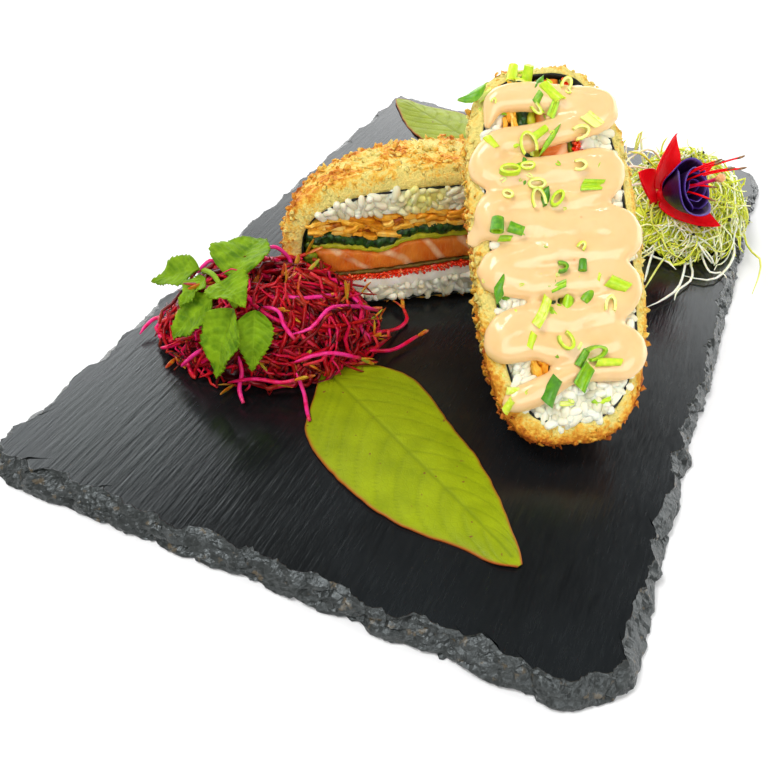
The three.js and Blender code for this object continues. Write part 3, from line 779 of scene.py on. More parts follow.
class PART_OT_slate_board(bpy.types.Operator):
    """Build the slate board with its hand-chipped edge"""

    bl_idname = "part.slate_board"
    bl_label = "Slate Board"

    def execute(self, context):
        settings = context.scene.slate_settings
        low, high = node_box("slate_board")
        width, length, thickness = high - low
        corners = ("front_right", "back_right", "back_left", "front_left")
        radii = [getattr(settings, f"corner_{corner}") / MM for corner in corners]
        outline, out, along, total = rounded_outline(width, length, radii, EDGE_POINTS)
        heights = EDGE_LEVELS * thickness
        inset = settings.bevel / MM * EDGE_LEVELS[:, None] ** 1.7
        rng = np.random.default_rng(11)
        inset = inset + chip_depths(along, total, heights, thickness, settings, rng)
        inset[0] += 0.4
        inset += np.array([self.broken_face(outline, height) for height in heights])
        edges = [outline - out * edge[:, None] for edge in inset]
        # the rings that close the top and the underside lie inside the deepest chip
        inner = outline * (1 - 2 * (inset.max() + 1.5) / np.array([width, length]))
        levels = [(inner, 0.0), *zip(edges, heights)]
        levels += [(edges[-1] * (1 - share) + inner * share, thickness) for share in (0.03, 0.5, 1.0)]
        points = np.concatenate([np.insert(ring, 2, level, axis=1) for ring, level in levels])
        walls = grid_faces(len(levels), EDGE_POINTS, closed=True)
        ring = np.arange(EDGE_POINTS)[None]
        top, under = ring + (len(levels) - 1) * EDGE_POINTS, ring[:, ::-1]
        chip = np.repeat(np.concatenate([np.ones(len(levels) - 3), np.zeros(3)]), EDGE_POINTS)
        board = new_piece("slate", points, [walls, top, under], smooth=False, chip=chip)
        add_to_part(board, slate_finish(), "slate", "slate_board")
        return {"FINISHED"}

    def broken_face(self, outline, height):
        """How far the facets of broken stone stand in, round the edge at one height."""
        spots = np.insert(outline, 2, height * 2.4, axis=1)
        spots += 1.5 * noise_at(spots, 5.0, 4)[:, None]
        large, own_large = knobs_at(spots, 15.0, 31)
        small, own_small = knobs_at(spots, 5.5, 41)
        grit, _ = knobs_at(spots, 2.2, 51)
        return 2.2 * (1 - large) * own_large + 1.3 * (1 - small) * own_small**2 + 0.35 * (1 - grit) - 1.1


# ---------------------------------------------------------------- the halves of the burger

NORI_THICKNESS = 0.5
GAP = 0.3


def flat_axes(heading):
    """Columns along the cut, into the half and towards the dome, for a half that lies level."""
    along = heading_vector(math.radians(heading))
    return np.stack([along, np.cross(UP, along), UP], -1)


def leaning_axes(dome_heading, tilt, lean):
    """The same columns for a half whose cut rises by tilt and whose dome side rises by lean."""
    heading, tilt, lean = (math.radians(a) for a in (dome_heading, tilt, lean))
    level = heading_vector(heading)
    back = np.array([level[1], -level[0], 0.0])
    domeward = level * math.cos(lean) + UP * math.sin(lean)
    risen = UP * math.cos(lean) - level * math.sin(lean)
    along = back * math.cos(tilt) + risen * math.sin(tilt)
    inward = back * math.sin(tilt) - risen * math.cos(tilt)
    return np.stack([along, inward, domeward], -1)


class Half:
    """One half's own axes, in millimetres: x along the cut, y into the half, z from base to dome."""

    def __init__(self, name, axes, size, powers, crust):
        self.name = name
        self.axes = axes
        self.rim, self.dome, self.base = size
        self.dome_power, self.base_power = powers
        self.crust = crust
        local = node_points(f"{name}_nori") @ axes
        low, high = local.min(0), local.max(0)
        middle = (low[0] + high[0]) / 2
        self.origin = axes @ np.array([middle, low[1], low[2] + self.base])
        self.depth_share = (high[1] - low[1]) / self.rim

    def world(self, local):
        return np.asarray(local) @ self.axes.T + self.origin

    def local(self, world):
        return (np.asarray(world) - self.origin) @ self.axes

    def surface(self, extra, turns, steps):
        """Points of the turned profile, grown by extra(turn) = (rim, dome, base), as rows by turn."""
        angle = np.linspace(-np.pi / 2, np.pi / 2, steps)
        c, s = np.maximum(np.cos(angle), 0), np.sin(angle)
        power = np.where(s > 0, self.dome_power, self.base_power)
        reach = (c**power + np.abs(s) ** power) ** (-1 / power)
        rows = []
        for turn in turns:
            more_rim, more_dome, more_base = extra(turn)
            radius = (self.rim + more_rim) * c * reach
            height = np.where(s > 0, self.dome + more_dome, self.base + more_base) * s * reach
            x = radius * math.cos(turn)
            y = radius * math.sin(turn) * self.depth_share
            rows.append(np.stack([x, y, height], -1))
        return np.array(rows)

    def crust_extra(self, turn):
        share = (1 - math.cos(turn)) / 2
        rim = self.crust["far"] * (1 - share) + self.crust["near"] * share
        return rim + GAP, self.crust["dome"] + GAP, self.crust["base"] + GAP

    def cut_triangles(self, node):
        """The triangles of a CAD node that lie on the cut, in the half's own axes."""
        local = self.local(node_triangles(f"{self.name}_{node}"))
        return local[np.all(np.abs(local[:, :, 1]) < 0.05, axis=1)]


FLAT = Half(
    "flat_half",
    flat_axes(heading=37.1),
    size=(48.5, 21.0, 20.8),
    powers=(3.0, 5.0),
    crust={"near": 5.5, "far": 5.5, "dome": 5.8, "base": 1.7},
)
LEANING = Half(
    "leaning_half",
    leaning_axes(dome_heading=206.1, tilt=45.2, lean=-8.0),
    size=(49.3, 19.1, 19.5),
    powers=(3.7, 2.75),
    crust={"near": 5.6, "far": 2.6, "dome": 4.4, "base": 2.8},
)
HALVES = (FLAT, LEANING)


def even(extra):
    """The same growth of a turned profile at every turn, for its rim, dome and base."""
    return lambda turn: (extra, extra, extra)


def shell(name, half, outer, inner, turns, steps, across):
    """A shell between two turned profiles, open at the cut, with rows of points across its cut edge.
    Each point keeps depth, from 0 on the inner side to 1 on the outer."""
    inner_turns = 37  # the inner side is hidden, so fewer rows make it
    out_rows = half.surface(outer, np.linspace(0, np.pi, turns), steps)
    in_rows = half.surface(inner, np.linspace(0, np.pi, inner_turns), steps)
    points = np.concatenate([rows.reshape(-1, 3) for rows in (out_rows, in_rows)])
    depth = np.repeat([1.0, 0.0], [turns * steps, inner_turns * steps])
    faces = [grid_faces(turns, steps), grid_faces(inner_turns, steps, start=turns * steps)]
    shares = np.linspace(0, 1, across + 1)
    for end in (0, -1):
        faces.append(grid_faces(across + 1, steps, start=len(points)))
        points = np.concatenate([points, *(in_rows[end] * (1 - s) + out_rows[end] * s for s in shares)])
        depth = np.concatenate([depth, np.repeat(shares * 0.9, steps)])
    piece = new_piece(name, half.world(points), faces, depth=depth)
    merge_and_face_out(piece)
    return piece


class CrustSettings(bpy.types.PropertyGroup):
    crumbs: IntProperty(name="Crumbs", description="Loose crumbs on each half", default=2350)
    crumb_size: length_setting("Crumb size", "Length of a large crumb", 3)
    lumps: length_setting("Lumps", "Height of the crust's lumps", 2)
    rounding: length_setting("Rounding", "How far the crust falls back at the cut", 3)


def crumb_shapes(rng):
    """A few craggy crumbs, about one unit long."""
    shapes = []
    for seed in range(6):
        bpy.ops.mesh.primitive_ico_sphere_add(subdivisions=1, radius=0.5 * MM)
        with editing(bpy.context.object):
            bpy.ops.transform.resize(value=(1.0, rng.uniform(0.5, 0.8), rng.uniform(0.4, 0.65)))
            bpy.ops.transform.vertex_random(offset=0.2 * MM, uniform=0.4, normal=0.5, seed=seed)
        shapes.append(Shape(bpy.context.object))
    return shapes


def crust_triangles(piece):
    """The triangles of a crust's outer side, how browned each is and how deep."""
    corners = triangle_corners(piece.data)
    depth = kept_values(piece, "depth")[corners].mean(1)
    shown = depth > 0.12
    toast = kept_values(piece, "toast")[corners[shown]].mean(1)
    return piece_points(piece)[corners[shown]], toast, depth[shown]


def browning_and_shade(half, points, depth):
    """How browned the crust is: pale at the cut, deeper on the rim, at the near end and in patches, with
    painted shade making the flat half's underside darker where it rests on the slate.
    """
    local = half.local(points)
    radial = np.hypot(local[:, 0] / half.rim, local[:, 1] / (half.rim * half.depth_share))
    height = np.where(local[:, 2] > 0, local[:, 2] / half.dome, -local[:, 2] / half.base)
    rim = smooth_step(0.72, 1.05, radial) * smooth_step(1.25, 0.6, height)
    patches = 0.24 * layered_noise(points, 8.0, 3, 3)
    back = smooth_step(-2.0, 6.0, local[:, 1]) * smooth_step(0.4, 1.0, depth)
    near_end = smooth_step(-10, -45, local[:, 0]) * (1.6 if half is LEANING else 0.4)
    # painted shade: the flat half's underside is made darker where it rests on the slate
    under = smooth_step(-0.6, -1.0, local[:, 2] / half.base) * (0.35 if half is FLAT else 0)
    return 0.14 + 0.12 * depth + back * (0.16 + 0.14 * rim + patches) + 0.35 * near_end * depth + under


# where the leaning crust rests on the rim of the flat one, and the way from one to the other
CRUST_TOUCH = np.array([9.7, -8.2, 53.5])
CRUST_GAP = np.array([2.04, -2.92, 1.18])
TOUCH_REACH = 8.0


class PART_OT_crusts(bpy.types.Operator):
    """Build the crumb crust of each half, with its loose crumbs"""

    bl_idname = "part.crusts"
    bl_label = "Crumb Crusts"

    def execute(self, context):
        settings = context.scene.crust_settings
        rng = np.random.default_rng(23)
        shapes = crumb_shapes(rng)
        finish = crust_finish()
        for half in HALVES:
            name = f"{half.name}_crust_body"
            piece = shell(name, half, half.crust_extra, even(0.08), turns=340, steps=100, across=7)
            self.crumble(half, piece, settings)
            add_to_part(piece, finish, "crust", f"{half.name}_crust")
            self.scatter_crumbs(half, piece, shapes, finish, settings, rng)
        return {"FINISHED"}

    def crumble(self, half, piece, settings):
        """Rounds a crust back at the cut, raises lumps, bulges it where the halves touch, browns it and
        paints shade on the flat half's underside.
        """
        depth = kept_values(piece, "depth")
        local = half.local(piece_points(piece))
        back = settings.rounding / MM * (1.0 if half is FLAT else 0.7)
        local[:, 1] += back * depth**2 * np.exp(-((local[:, 1] / (1.5 * back)) ** 2))
        points = half.world(local)
        bent = points + 0.8 * np.stack([noise_at(points, 2.0, k) for k in (21, 22, 23)], -1)
        clump, own_clump = knobs_at(bent, 4.2, 3)
        crumb, own_crumb = knobs_at(bent, 1.9, 9)
        rise = 0.5 * clump * own_clump**1.5 + 0.5 * crumb * (0.2 + 0.8 * own_crumb) - 0.3
        rise += 0.1 * layered_noise(points, 1.1, 2, 8)
        amount = settings.lumps / MM * (0.15 + 0.85 * smooth_step(0.05, 0.6, depth))
        near = np.exp(-((np.linalg.norm(points - CRUST_TOUCH, axis=1) / TOUCH_REACH) ** 2))
        towards = 0.55 * CRUST_GAP * (1 if half is FLAT else -1)
        move_points(piece, points)
        lumps = point_normals(piece) * (rise * amount)[:, None]
        move_points(piece, points + lumps + near[:, None] * towards)
        toast = browning_and_shade(half, points, depth)
        peaks = 0.35 * rise + 0.22 * (own_clump - 0.5) + 0.3 * (own_crumb - 0.5)
        set_values(piece, "toast", np.clip(toast + peaks * (0.35 + 0.65 * depth), 0, 1))

    def scatter_crumbs(self, half, body, shapes, finish, settings, rng):
        triangles, toast, depth = crust_triangles(body)
        count = settings.crumbs
        places, chosen = spread_over(triangles, count, rng)
        normals = triangle_normals(triangles)[chosen]
        tilted = normals + rng.normal(0, 0.5, normals.shape)
        turns = turns_onto(tilted, rng.uniform(0, 2 * np.pi, count))
        length = settings.crumb_size / MM * rng.uniform(0.3, 1.0, count) ** 1.5
        length *= 0.42 + 0.58 * smooth_step(0.3, 1.0, depth[chosen])
        sizes = np.column_stack([length, length, length * rng.uniform(0.6, 1.1, count)])
        tone = toast[chosen] + rng.normal(-0.02, 0.12, count) + 0.16 * (rng.random(count) < 0.07)
        places = places + normals * (length * rng.uniform(-0.1, 0.3, count))[:, None]
        crumbs = copies(f"{half.name}_crumbs", shapes, places, turns, sizes, toast=np.clip(tone, 0.02, 1))
        add_to_part(crumbs, finish, "crust")


class PART_OT_nori_wraps(bpy.types.Operator):
    """Build the sheet of nori round each filling"""

    bl_idname = "part.nori_wraps"
    bl_label = "Nori Wraps"

    def execute(self, context):
        finish = nori_finish()
        for half in HALVES:
            name = f"{half.name}_nori_sheet"
            wrap = shell(name, half, even(0.03), even(-NORI_THICKNESS), turns=48, steps=84, across=1)
            points = piece_points(wrap)
            local = half.local(points)
            edge = np.exp(-((local[:, 1] / 1.5) ** 2))
            local[:, 1] -= edge * (0.1 + 0.5 * noise_at(points, 2.4, 4))
            local[:, 2] += edge * 0.45 * noise_at(points, 6.0, 9) * np.sign(local[:, 2])
            move_points(wrap, half.world(local))
            add_to_part(wrap, finish, "nori", f"{half.name}_nori")
        return {"FINISHED"}


# ---------------------------------------------------------------- the filling


class FillingSettings(bpy.types.PropertyGroup):
    depth: length_setting("Depth", "How far in from the cut the filling is made", 9)
    grain_length: length_setting("Rice grain", "Length of a grain of rice", 5.8)
    bead: length_setting("Roe", "Width of a roe bead", 1)
    flake_rows: IntProperty(name="Flake rows", description="Crisp flakes on top of each other", default=4)


def slab(half, layer, depth, voxel, name):
    """A layer's CAD solid, kept to a depth behind the cut and given an even skin."""
    piece = node_copy(f"{half.name}_{layer}", f"{half.name}_{name}")
    behind = Vector(half.world([0, depth, 0]) * MM)
    with editing(piece):
        outward = Vector(half.axes[:, 1])
        bpy.ops.mesh.bisect(plane_co=behind, plane_no=outward, use_fill=True, clear_outer=True)
    remeshed(piece, voxel)
    return piece


def sag(half, local):
    """Lets the flat half's middle layers dip and rise along the cut as they do under the crisp flakes."""
    if half is FLAT:
        lower, raised = (np.exp(-(((local[:, 0] + along) / 7) ** 2)) for along in (11, 24))
        dip = 1.6 * lower - 1.7 * raised
        local[:, 2] += dip * smooth_step(-8, 0, local[:, 2]) * smooth_step(13, 6, local[:, 2])
    return local


def rice_grain_shapes():
    """Rice grains about one unit long, plump, blunt and slightly bent."""
    shapes = []
    for bend, plump in ((0.16, 0.5), (-0.2, 0.54), (0.06, 0.47)):
        bpy.ops.mesh.primitive_uv_sphere_add(segments=8, ring_count=7, radius=0.5 * MM)
        grain = bpy.context.object
        with editing(grain):
            bpy.ops.transform.resize(value=(plump, plump * 0.9, 1.0))
        points = piece_points(grain)
        # the ends are blunter than an ellipsoid's
        points[:, :2] *= (1 + 0.4 * (2 * points[:, 2]) ** 2)[:, None]
        points[:, 2] *= 0.93
        points[:, 0] += bend * (points[:, 2] ** 2 - 0.1)
        move_points(grain, points)
        shapes.append(Shape(grain))
    return shapes


def rice_at_cut(half, node, settings, shapes, finish, rng):
    """Grains of rice over the cut of a rice layer, in two overlapping coats on a core."""
    triangles = half.cut_triangles(node)
    places, turns = [], []
    for distance, inward in ((1.85, 0.5), (2.2, 1.7)):
        spots, _ = spread_over(triangles, 1800, rng)
        spots = spots[apart(spots, distance)]
        spots[:, 1] = inward + rng.uniform(-0.5, 0.5, len(spots))
        places.append(spots)
        turns.append(random_turns(rng, len(spots)))
    places, turns = np.concatenate(places), np.concatenate(turns)
    lies = turns[:, :, 2]
    lies[:, 1] *= 0.5
    turns = turns_onto(lies, rng.uniform(0, 2 * np.pi, len(places)))
    sizes = settings.grain_length / MM * rng.uniform(0.75, 1.08, len(places))
    reach = np.abs(turns[:, 2, 2]) * sizes / 2
    low, high = triangles[:, :, 2].min(), triangles[:, :, 2].max()
    # the layer presses out against the seaweed and stays clear of its neighbour
    places[:, [0, 2]] *= 1.015 if half is FLAT else 1.03
    least, most = low - 0.3, high - 0.9 - reach * 0.6
    if node == "rice_top":
        least, most = low + reach * 0.35, high + 0.1
    places[:, 2] = np.clip(places[:, 2], least, most)
    tone = np.clip(rng.normal(0.68, 0.2, len(places)), 0, 1)
    stain = stained(half, node, places) * rng.uniform(0.4, 1.0, len(places))
    name = f"{half.name}_{node}"
    turns = np.einsum("ij,njk->nik", half.axes, turns)
    grains = copies(f"{name}_grains", shapes, half.world(places), turns, sizes, tone=tone, stain=stain)
    add_to_part(grains, finish, "rice", name)
    core = slab(half, node, settings.depth / MM, 1.0, f"{node}_core")
    roughen(core, 0.5, 2.6, 2, 5, swell=-0.05)
    set_everywhere(core, tone=0.6)
    set_values(core, "stain", stained(half, node, half.local(piece_points(core))))
    add_to_part(core, finish, "rice")


def stained(half, node, local):
    """Where juice has stained the flat half's upper rice green and yellow."""
    if half is LEANING or node != "rice_top":
        return np.zeros(len(local))
    return smooth_step(-20, -12, local[:, 0]) * smooth_step(2, -4, local[:, 0])


class PART_OT_rice(bpy.types.Operator):
    """Build the rice that shows at each cut"""

    bl_idname = "part.rice"
    bl_label = "Rice"

    def execute(self, context):
        settings = context.scene.filling_settings
        rng = np.random.default_rng(31)
        shapes = rice_grain_shapes()
        finish = rice_finish()
        for half in HALVES:
            nodes = ["rice_base", "rice_top"] + (["rice_end"] if half is LEANING else [])
            for node in nodes:
                rice_at_cut(half, node, settings, shapes, finish, rng)
        return {"FINISHED"}


class PART_OT_soft_layers(bpy.types.Operator):
    """Build the cream cheese, salmon, avocado, greens and lettuce of each half"""

    bl_idname = "part.soft_layers"
    bl_label = "Soft Layers"

    def execute(self, context):
        depth = context.scene.filling_settings.depth / MM
        # each layer's finish, the size of its skin's faces, and its bumps' height, size and swelling
        kinds = [
            ("cream_cheese", cream_cheese_finish(), 0.85, 0.55, 3.5, 0.35),
            ("salmon", salmon_finish(), 1.05, 0.3, 5.0, 0.2),
            ("avocado", avocado_finish(), 0.78, 0.25, 3.0, 0.15),
            ("greens", greens_finish(), 0.68, 0.85, 1.8, 0.5),
        ]
        for half in HALVES:
            for layer, finish, voxel, amount, size, swell in kinds:
                piece = slab(half, layer, depth, voxel, f"{layer}_layer")
                relax(piece, 2)
                roughen(piece, amount, size, 3, len(layer), swell)
                local = half.local(piece_points(piece))
                # patterns that run through a layer follow the half's own axes
                set_values(piece, "place", local)
                local = sag(half, local)
                if layer == "cream_cheese":
                    # it bulges down over the rice
                    under = smooth_step(0.3, -0.3, point_normals(piece) @ half.axes[:, 2])
                    local -= under[:, None] * [0.0, 0.3, 1.3]
                move_points(piece, half.world(local))
                add_to_part(piece, finish, layer, f"{half.name}_{layer}")
        finish = lettuce_finish()
        for half, name in ((FLAT, "lettuce"), (FLAT, "side_lettuce"), (LEANING, "lettuce")):
            self.lettuce(half, name, depth, finish)
        return {"FINISHED"}

    def lettuce(self, half, name, depth, finish):
        """A layer of leaves, browned towards one end if it runs through the half."""
        through = name == "lettuce"
        piece = slab(half, name, depth, 0.68, f"{name}_layer")
        roughen(piece, 0.45 if through else 0.9, 1.8, 3, 6, 0.2)
        local = half.local(piece_points(piece))
        set_values(piece, "brown", 0.85 * through * smooth_step(12, 0, local[:, 0]))
        add_to_part(piece, finish, "lettuce", f"{half.name}_{name}")


class PART_OT_roe(bpy.types.Operator):
    """Build the beads of roe at each cut"""

    bl_idname = "part.roe"
    bl_label = "Roe"

    def execute(self, context):
        settings = context.scene.filling_settings
        rng = np.random.default_rng(37)
        finish = roe_finish()
        bead = settings.bead / MM
        bpy.ops.mesh.primitive_uv_sphere_add(segments=6, ring_count=5, radius=0.5 * MM)
        shape = Shape(bpy.context.object)
        for half in HALVES:
            spots, _ = spread_over(half.cut_triangles("roe"), 3500, rng)
            spots = spots[apart(spots, bead * 0.6)]
            count = len(spots)
            spots[:, 1] = rng.uniform(-1.0, 0.1, count)
            spots[:, 2] += rng.normal(0, 0.3, count)
            turns = np.tile(np.eye(3), (count, 1, 1))
            sizes = bead * rng.uniform(0.85, 1.1, count)
            places = half.world(spots)
            beads = copies(f"{half.name}_roe_beads", [shape], places, turns, sizes, tone=rng.random(count))
            add_to_part(beads, finish, "roe", f"{half.name}_roe")
            core = slab(half, "roe", settings.depth / MM, 0.85, "roe_core")
            set_everywhere(core, tone=0.2)
            add_to_part(core, finish, "roe")
        return {"FINISHED"}


def flake_shapes():
    """Crisp wafers one unit long, deep and thick, with rounded and slightly warped sides."""
    shapes = []
    for seed in range(5):
        bpy.ops.mesh.primitive_cube_add(size=1.0 * MM)
        flake = bpy.context.object
        with editing(flake):
            bpy.ops.mesh.subdivide(number_cuts=3, smoothness=0.12)
            bpy.ops.transform.vertex_random(offset=0.09 * MM, seed=seed)
        points = piece_points(flake)
        points[:, 2] += 0.22 * np.sin(points[:, 0] * 5 + seed * 1.7)
        move_points(flake, points)
        shapes.append(Shape(flake))
    return shapes


class PART_OT_crisp_flakes(bpy.types.Operator):
    """Build the stacked crisp flakes at each cut"""

    bl_idname = "part.crisp_flakes"
    bl_label = "Crisp Flakes"

    def execute(self, context):
        settings = context.scene.filling_settings
        rng = np.random.default_rng(41)
        finish = flakes_finish()
        shapes = flake_shapes()
        for half in HALVES:
            corners = half.cut_triangles("crisp_flakes").reshape(-1, 3)
            places, turns, sizes = self.stacked(corners, settings.flake_rows, rng)
            turns = np.einsum("ij,njk->nik", half.axes, turns)
            tone = np.clip(rng.normal(0.62, 0.2, len(places)), 0, 1)
            places = half.world(sag(half, places))
            flakes = copies(f"{half.name}_flakes", shapes, places, turns, sizes, tone=tone)
            add_to_part(flakes, finish, "crisp_flakes", f"{half.name}_crisp_flakes")
            core = slab(half, "crisp_flakes", settings.depth / MM, 1.0, "flakes_painted_shade_core")
            roughen(core, 0.4, 2.0, 2, 5, swell=-0.7)
            move_points(core, half.world(sag(half, half.local(piece_points(core))) + [0, 1.0, 0]))
            # the core behind the flakes is painted the darkest brown: painted shade in the gaps between them
            set_everywhere(core, tone=0.05)
            add_to_part(core, finish, "crisp_flakes")
        return {"FINISHED"}

    def stacked(self, corners, rows, rng):
        """Places, turns and sizes of wafers laid end to end in rows between a layer's foot and top."""
        order = corners[np.argsort(corners[:, 0])]
        first, last = order[0, 0] + 0.5, order[-1, 0] - 0.5
        places, tilts, sizes = [], [], []
        for row in range(rows):
            x = first + rng.uniform(-2, 1)
            while x < last - 2:
                length = rng.uniform(3.0, 8.0)
                x += length / 2
                near = order[np.abs(order[:, 0] - x) < 7][:, 2]
                foot, top = near.min(), near.max()
                thick = (top - foot) / rows
                z = foot + thick * (row + 0.5) + rng.normal(0, 0.18)
                length = min(length, 2 * (last - x) + 1.5)
                places.append([x, 1.4 + rng.uniform(-0.7, 0.7), z])
                tilts.append([rng.normal(0, 0.17), rng.normal(0, 0.25), 1.0])
                sizes.append([length, rng.uniform(3.6, 4.8), thick * rng.uniform(0.7, 1.15)])
                x += length / 2 + rng.uniform(-0.6, 0.4)
        along = unit(np.cross([[0.0, 1.0, 0.0]], tilts))
        up = unit(np.array(tilts))
        turns = np.stack([along, np.cross(up, along), up], -1)
        return np.array(places), turns, np.array(sizes)


# ---------------------------------------------------------------- sauce

# along, domeward and half width of the poured strand, from its first drip to its end
SAUCE = (
    (35, 16.5, 1), (38, 15.5, 2), (42.5, 12.5, 4), (42.5, 3.5, 4.5), (40.5, -5.5, 4.5), (38, -13.5, 5.5),
    (35.5, -14.5, 5.5), (33, -6.5, 4.5), (31, 3.5, 4), (30, 13, 4.5), (25, 18, 5), (22, 16.5, 5),
    (21, 7, 4.5), (21, -2.5, 4.5), (20.5, -13, 6), (17.5, -14, 6), (14, -10.5, 5), (12, -2.5, 5),
    (13, 6.5, 4), (12.5, 16, 5), (9.5, 18, 5), (7, 16, 5), (6.5, 7, 5), (4.5, -2.5, 5),
    (4, -12.5, 6.5), (1, -17, 6.5), (-2, -14, 5.5), (-2, -4.5, 5), (-2, 6.5, 4.5), (-4.5, 17, 5.5),
    (-7, 17.5, 5.5), (-10.5, 8, 4.5), (-10.5, -2, 4.5), (-10.5, -12, 6), (-14, -15.5, 6), (-19.5, -10.5, 5),
    (-21, 0.5, 4.5), (-20.5, 11, 5), (-22.5, 17, 5.5), (-25.5, 19, 5), (-27.5, 17.5, 4.5), (-27, 9.5, 4.5),
    (-29, 3, 5), (-28, -5, 5), (-28, -11, 5.5), (-30.5, -14.5, 6), (-34, -13, 5.5), (-35.5, -6, 3.5),
    (-36, 1, 3), (-40, 10.5, 4), (-42, 17, 3.5), (-43.5, 20, 1.5),
)
DRIP = ((9, 18, 4), (6.5, 21, 3.5), (4.5, 23, 2.5), (2.5, 23.5, 1.5))


class SauceSettings(bpy.types.PropertyGroup):
    height: length_setting("Height", "How high a strand stands", 3.3)
    skin: length_setting("Skin", "How finely the strands are joined", 0.75)


def smooth_route(stations, steps):
    """A smooth run of stations through those given, with steps from each to the next."""
    s = np.asarray(stations, float)
    s = np.concatenate([[2 * s[0] - s[1]], s, [2 * s[-1] - s[-2]]])
    t = np.linspace(0, 1, steps, endpoint=False)[:, None]
    parts = []
    for a, b, c, d in zip(s, s[1:], s[2:], s[3:]):
        parts.append(b + 0.5 * t * (c - a + t * (2 * a - 5 * b + 4 * c - d + t * (3 * (b - c) + d - a))))
    return np.concatenate([*parts, s[-2:-1]])


def poured(name, half, stations, height, sides=14):
    """A poured strand lying on a half's cut, with rounded ends."""
    route = smooth_route(stations, 4)
    ahead = unit(np.gradient(route[:, :2], axis=0))
    turn = np.linspace(0, 2 * np.pi, sides, endpoint=False)
    across, up = np.cos(turn), np.sin(turn)
    rings = []
    for (x, z, width), (along_x, along_z) in zip(route, ahead, strict=True):
        tall = min(height, 0.8 * width + 0.3)
        rise = np.where(up > 0, np.abs(up) ** 0.7 * tall, up * 1.6)
        beside = across * width
        rings.append(np.stack([x - along_z * beside, -0.7 - rise, z + along_x * beside], -1))
    points = np.concatenate(rings)
    caps = np.array([np.mean(rings[0], 0), np.mean(rings[-1], 0)])
    ring = np.arange(sides)
    after, last_ring = np.roll(ring, -1), (len(rings) - 1) * sides
    lead = np.stack([np.full(sides, len(points)), after, ring], -1)
    tail = np.stack([np.full(sides, len(points) + 1), ring + last_ring, after + last_ring], -1)
    faces = [grid_faces(len(rings), sides, closed=True), lead, tail]
    piece = new_piece(name, half.world(np.concatenate([points, caps])), faces)
    merge_and_face_out(piece)
    return piece


class PART_OT_sauce(bpy.types.Operator):
    """Build the sauce poured to and fro over the leaning half"""

    bl_idname = "part.sauce"
    bl_label = "Sauce"

    def execute(self, context):
        settings = context.scene.sauce_settings
        height = settings.height / MM
        strand = poured("sauce", LEANING, SAUCE, height)
        drip = poured("drip", LEANING, DRIP, height * 0.7)
        local = LEANING.local(piece_points(drip))
        local[:, 1] += 2.6 * smooth_step(20.0, 24.5, local[:, 2])
        move_points(drip, LEANING.world(local))
        sauce = join_pieces("sauce", [strand, drip])
        remeshed(sauce, settings.skin / MM)
        relax(sauce, 9)
        local = LEANING.local(piece_points(sauce))
        hangs = smooth_step(19.5, 25.0, np.abs(local[:, 2])) * (local[:, 1] < 1.5)
        local[:, 1] += 1.2 * hangs
        local[:, 0] -= 0.5 * hangs
        local[:, 1] += 0.4 * layered_noise(local, 6.0, 2, 4)
        move_points(sauce, LEANING.world(local))
        add_to_part(sauce, sauce_finish(), "sauce", "leaning_half_sauce")
        return {"FINISHED"}


# ---------------------------------------------------------------- spring onion

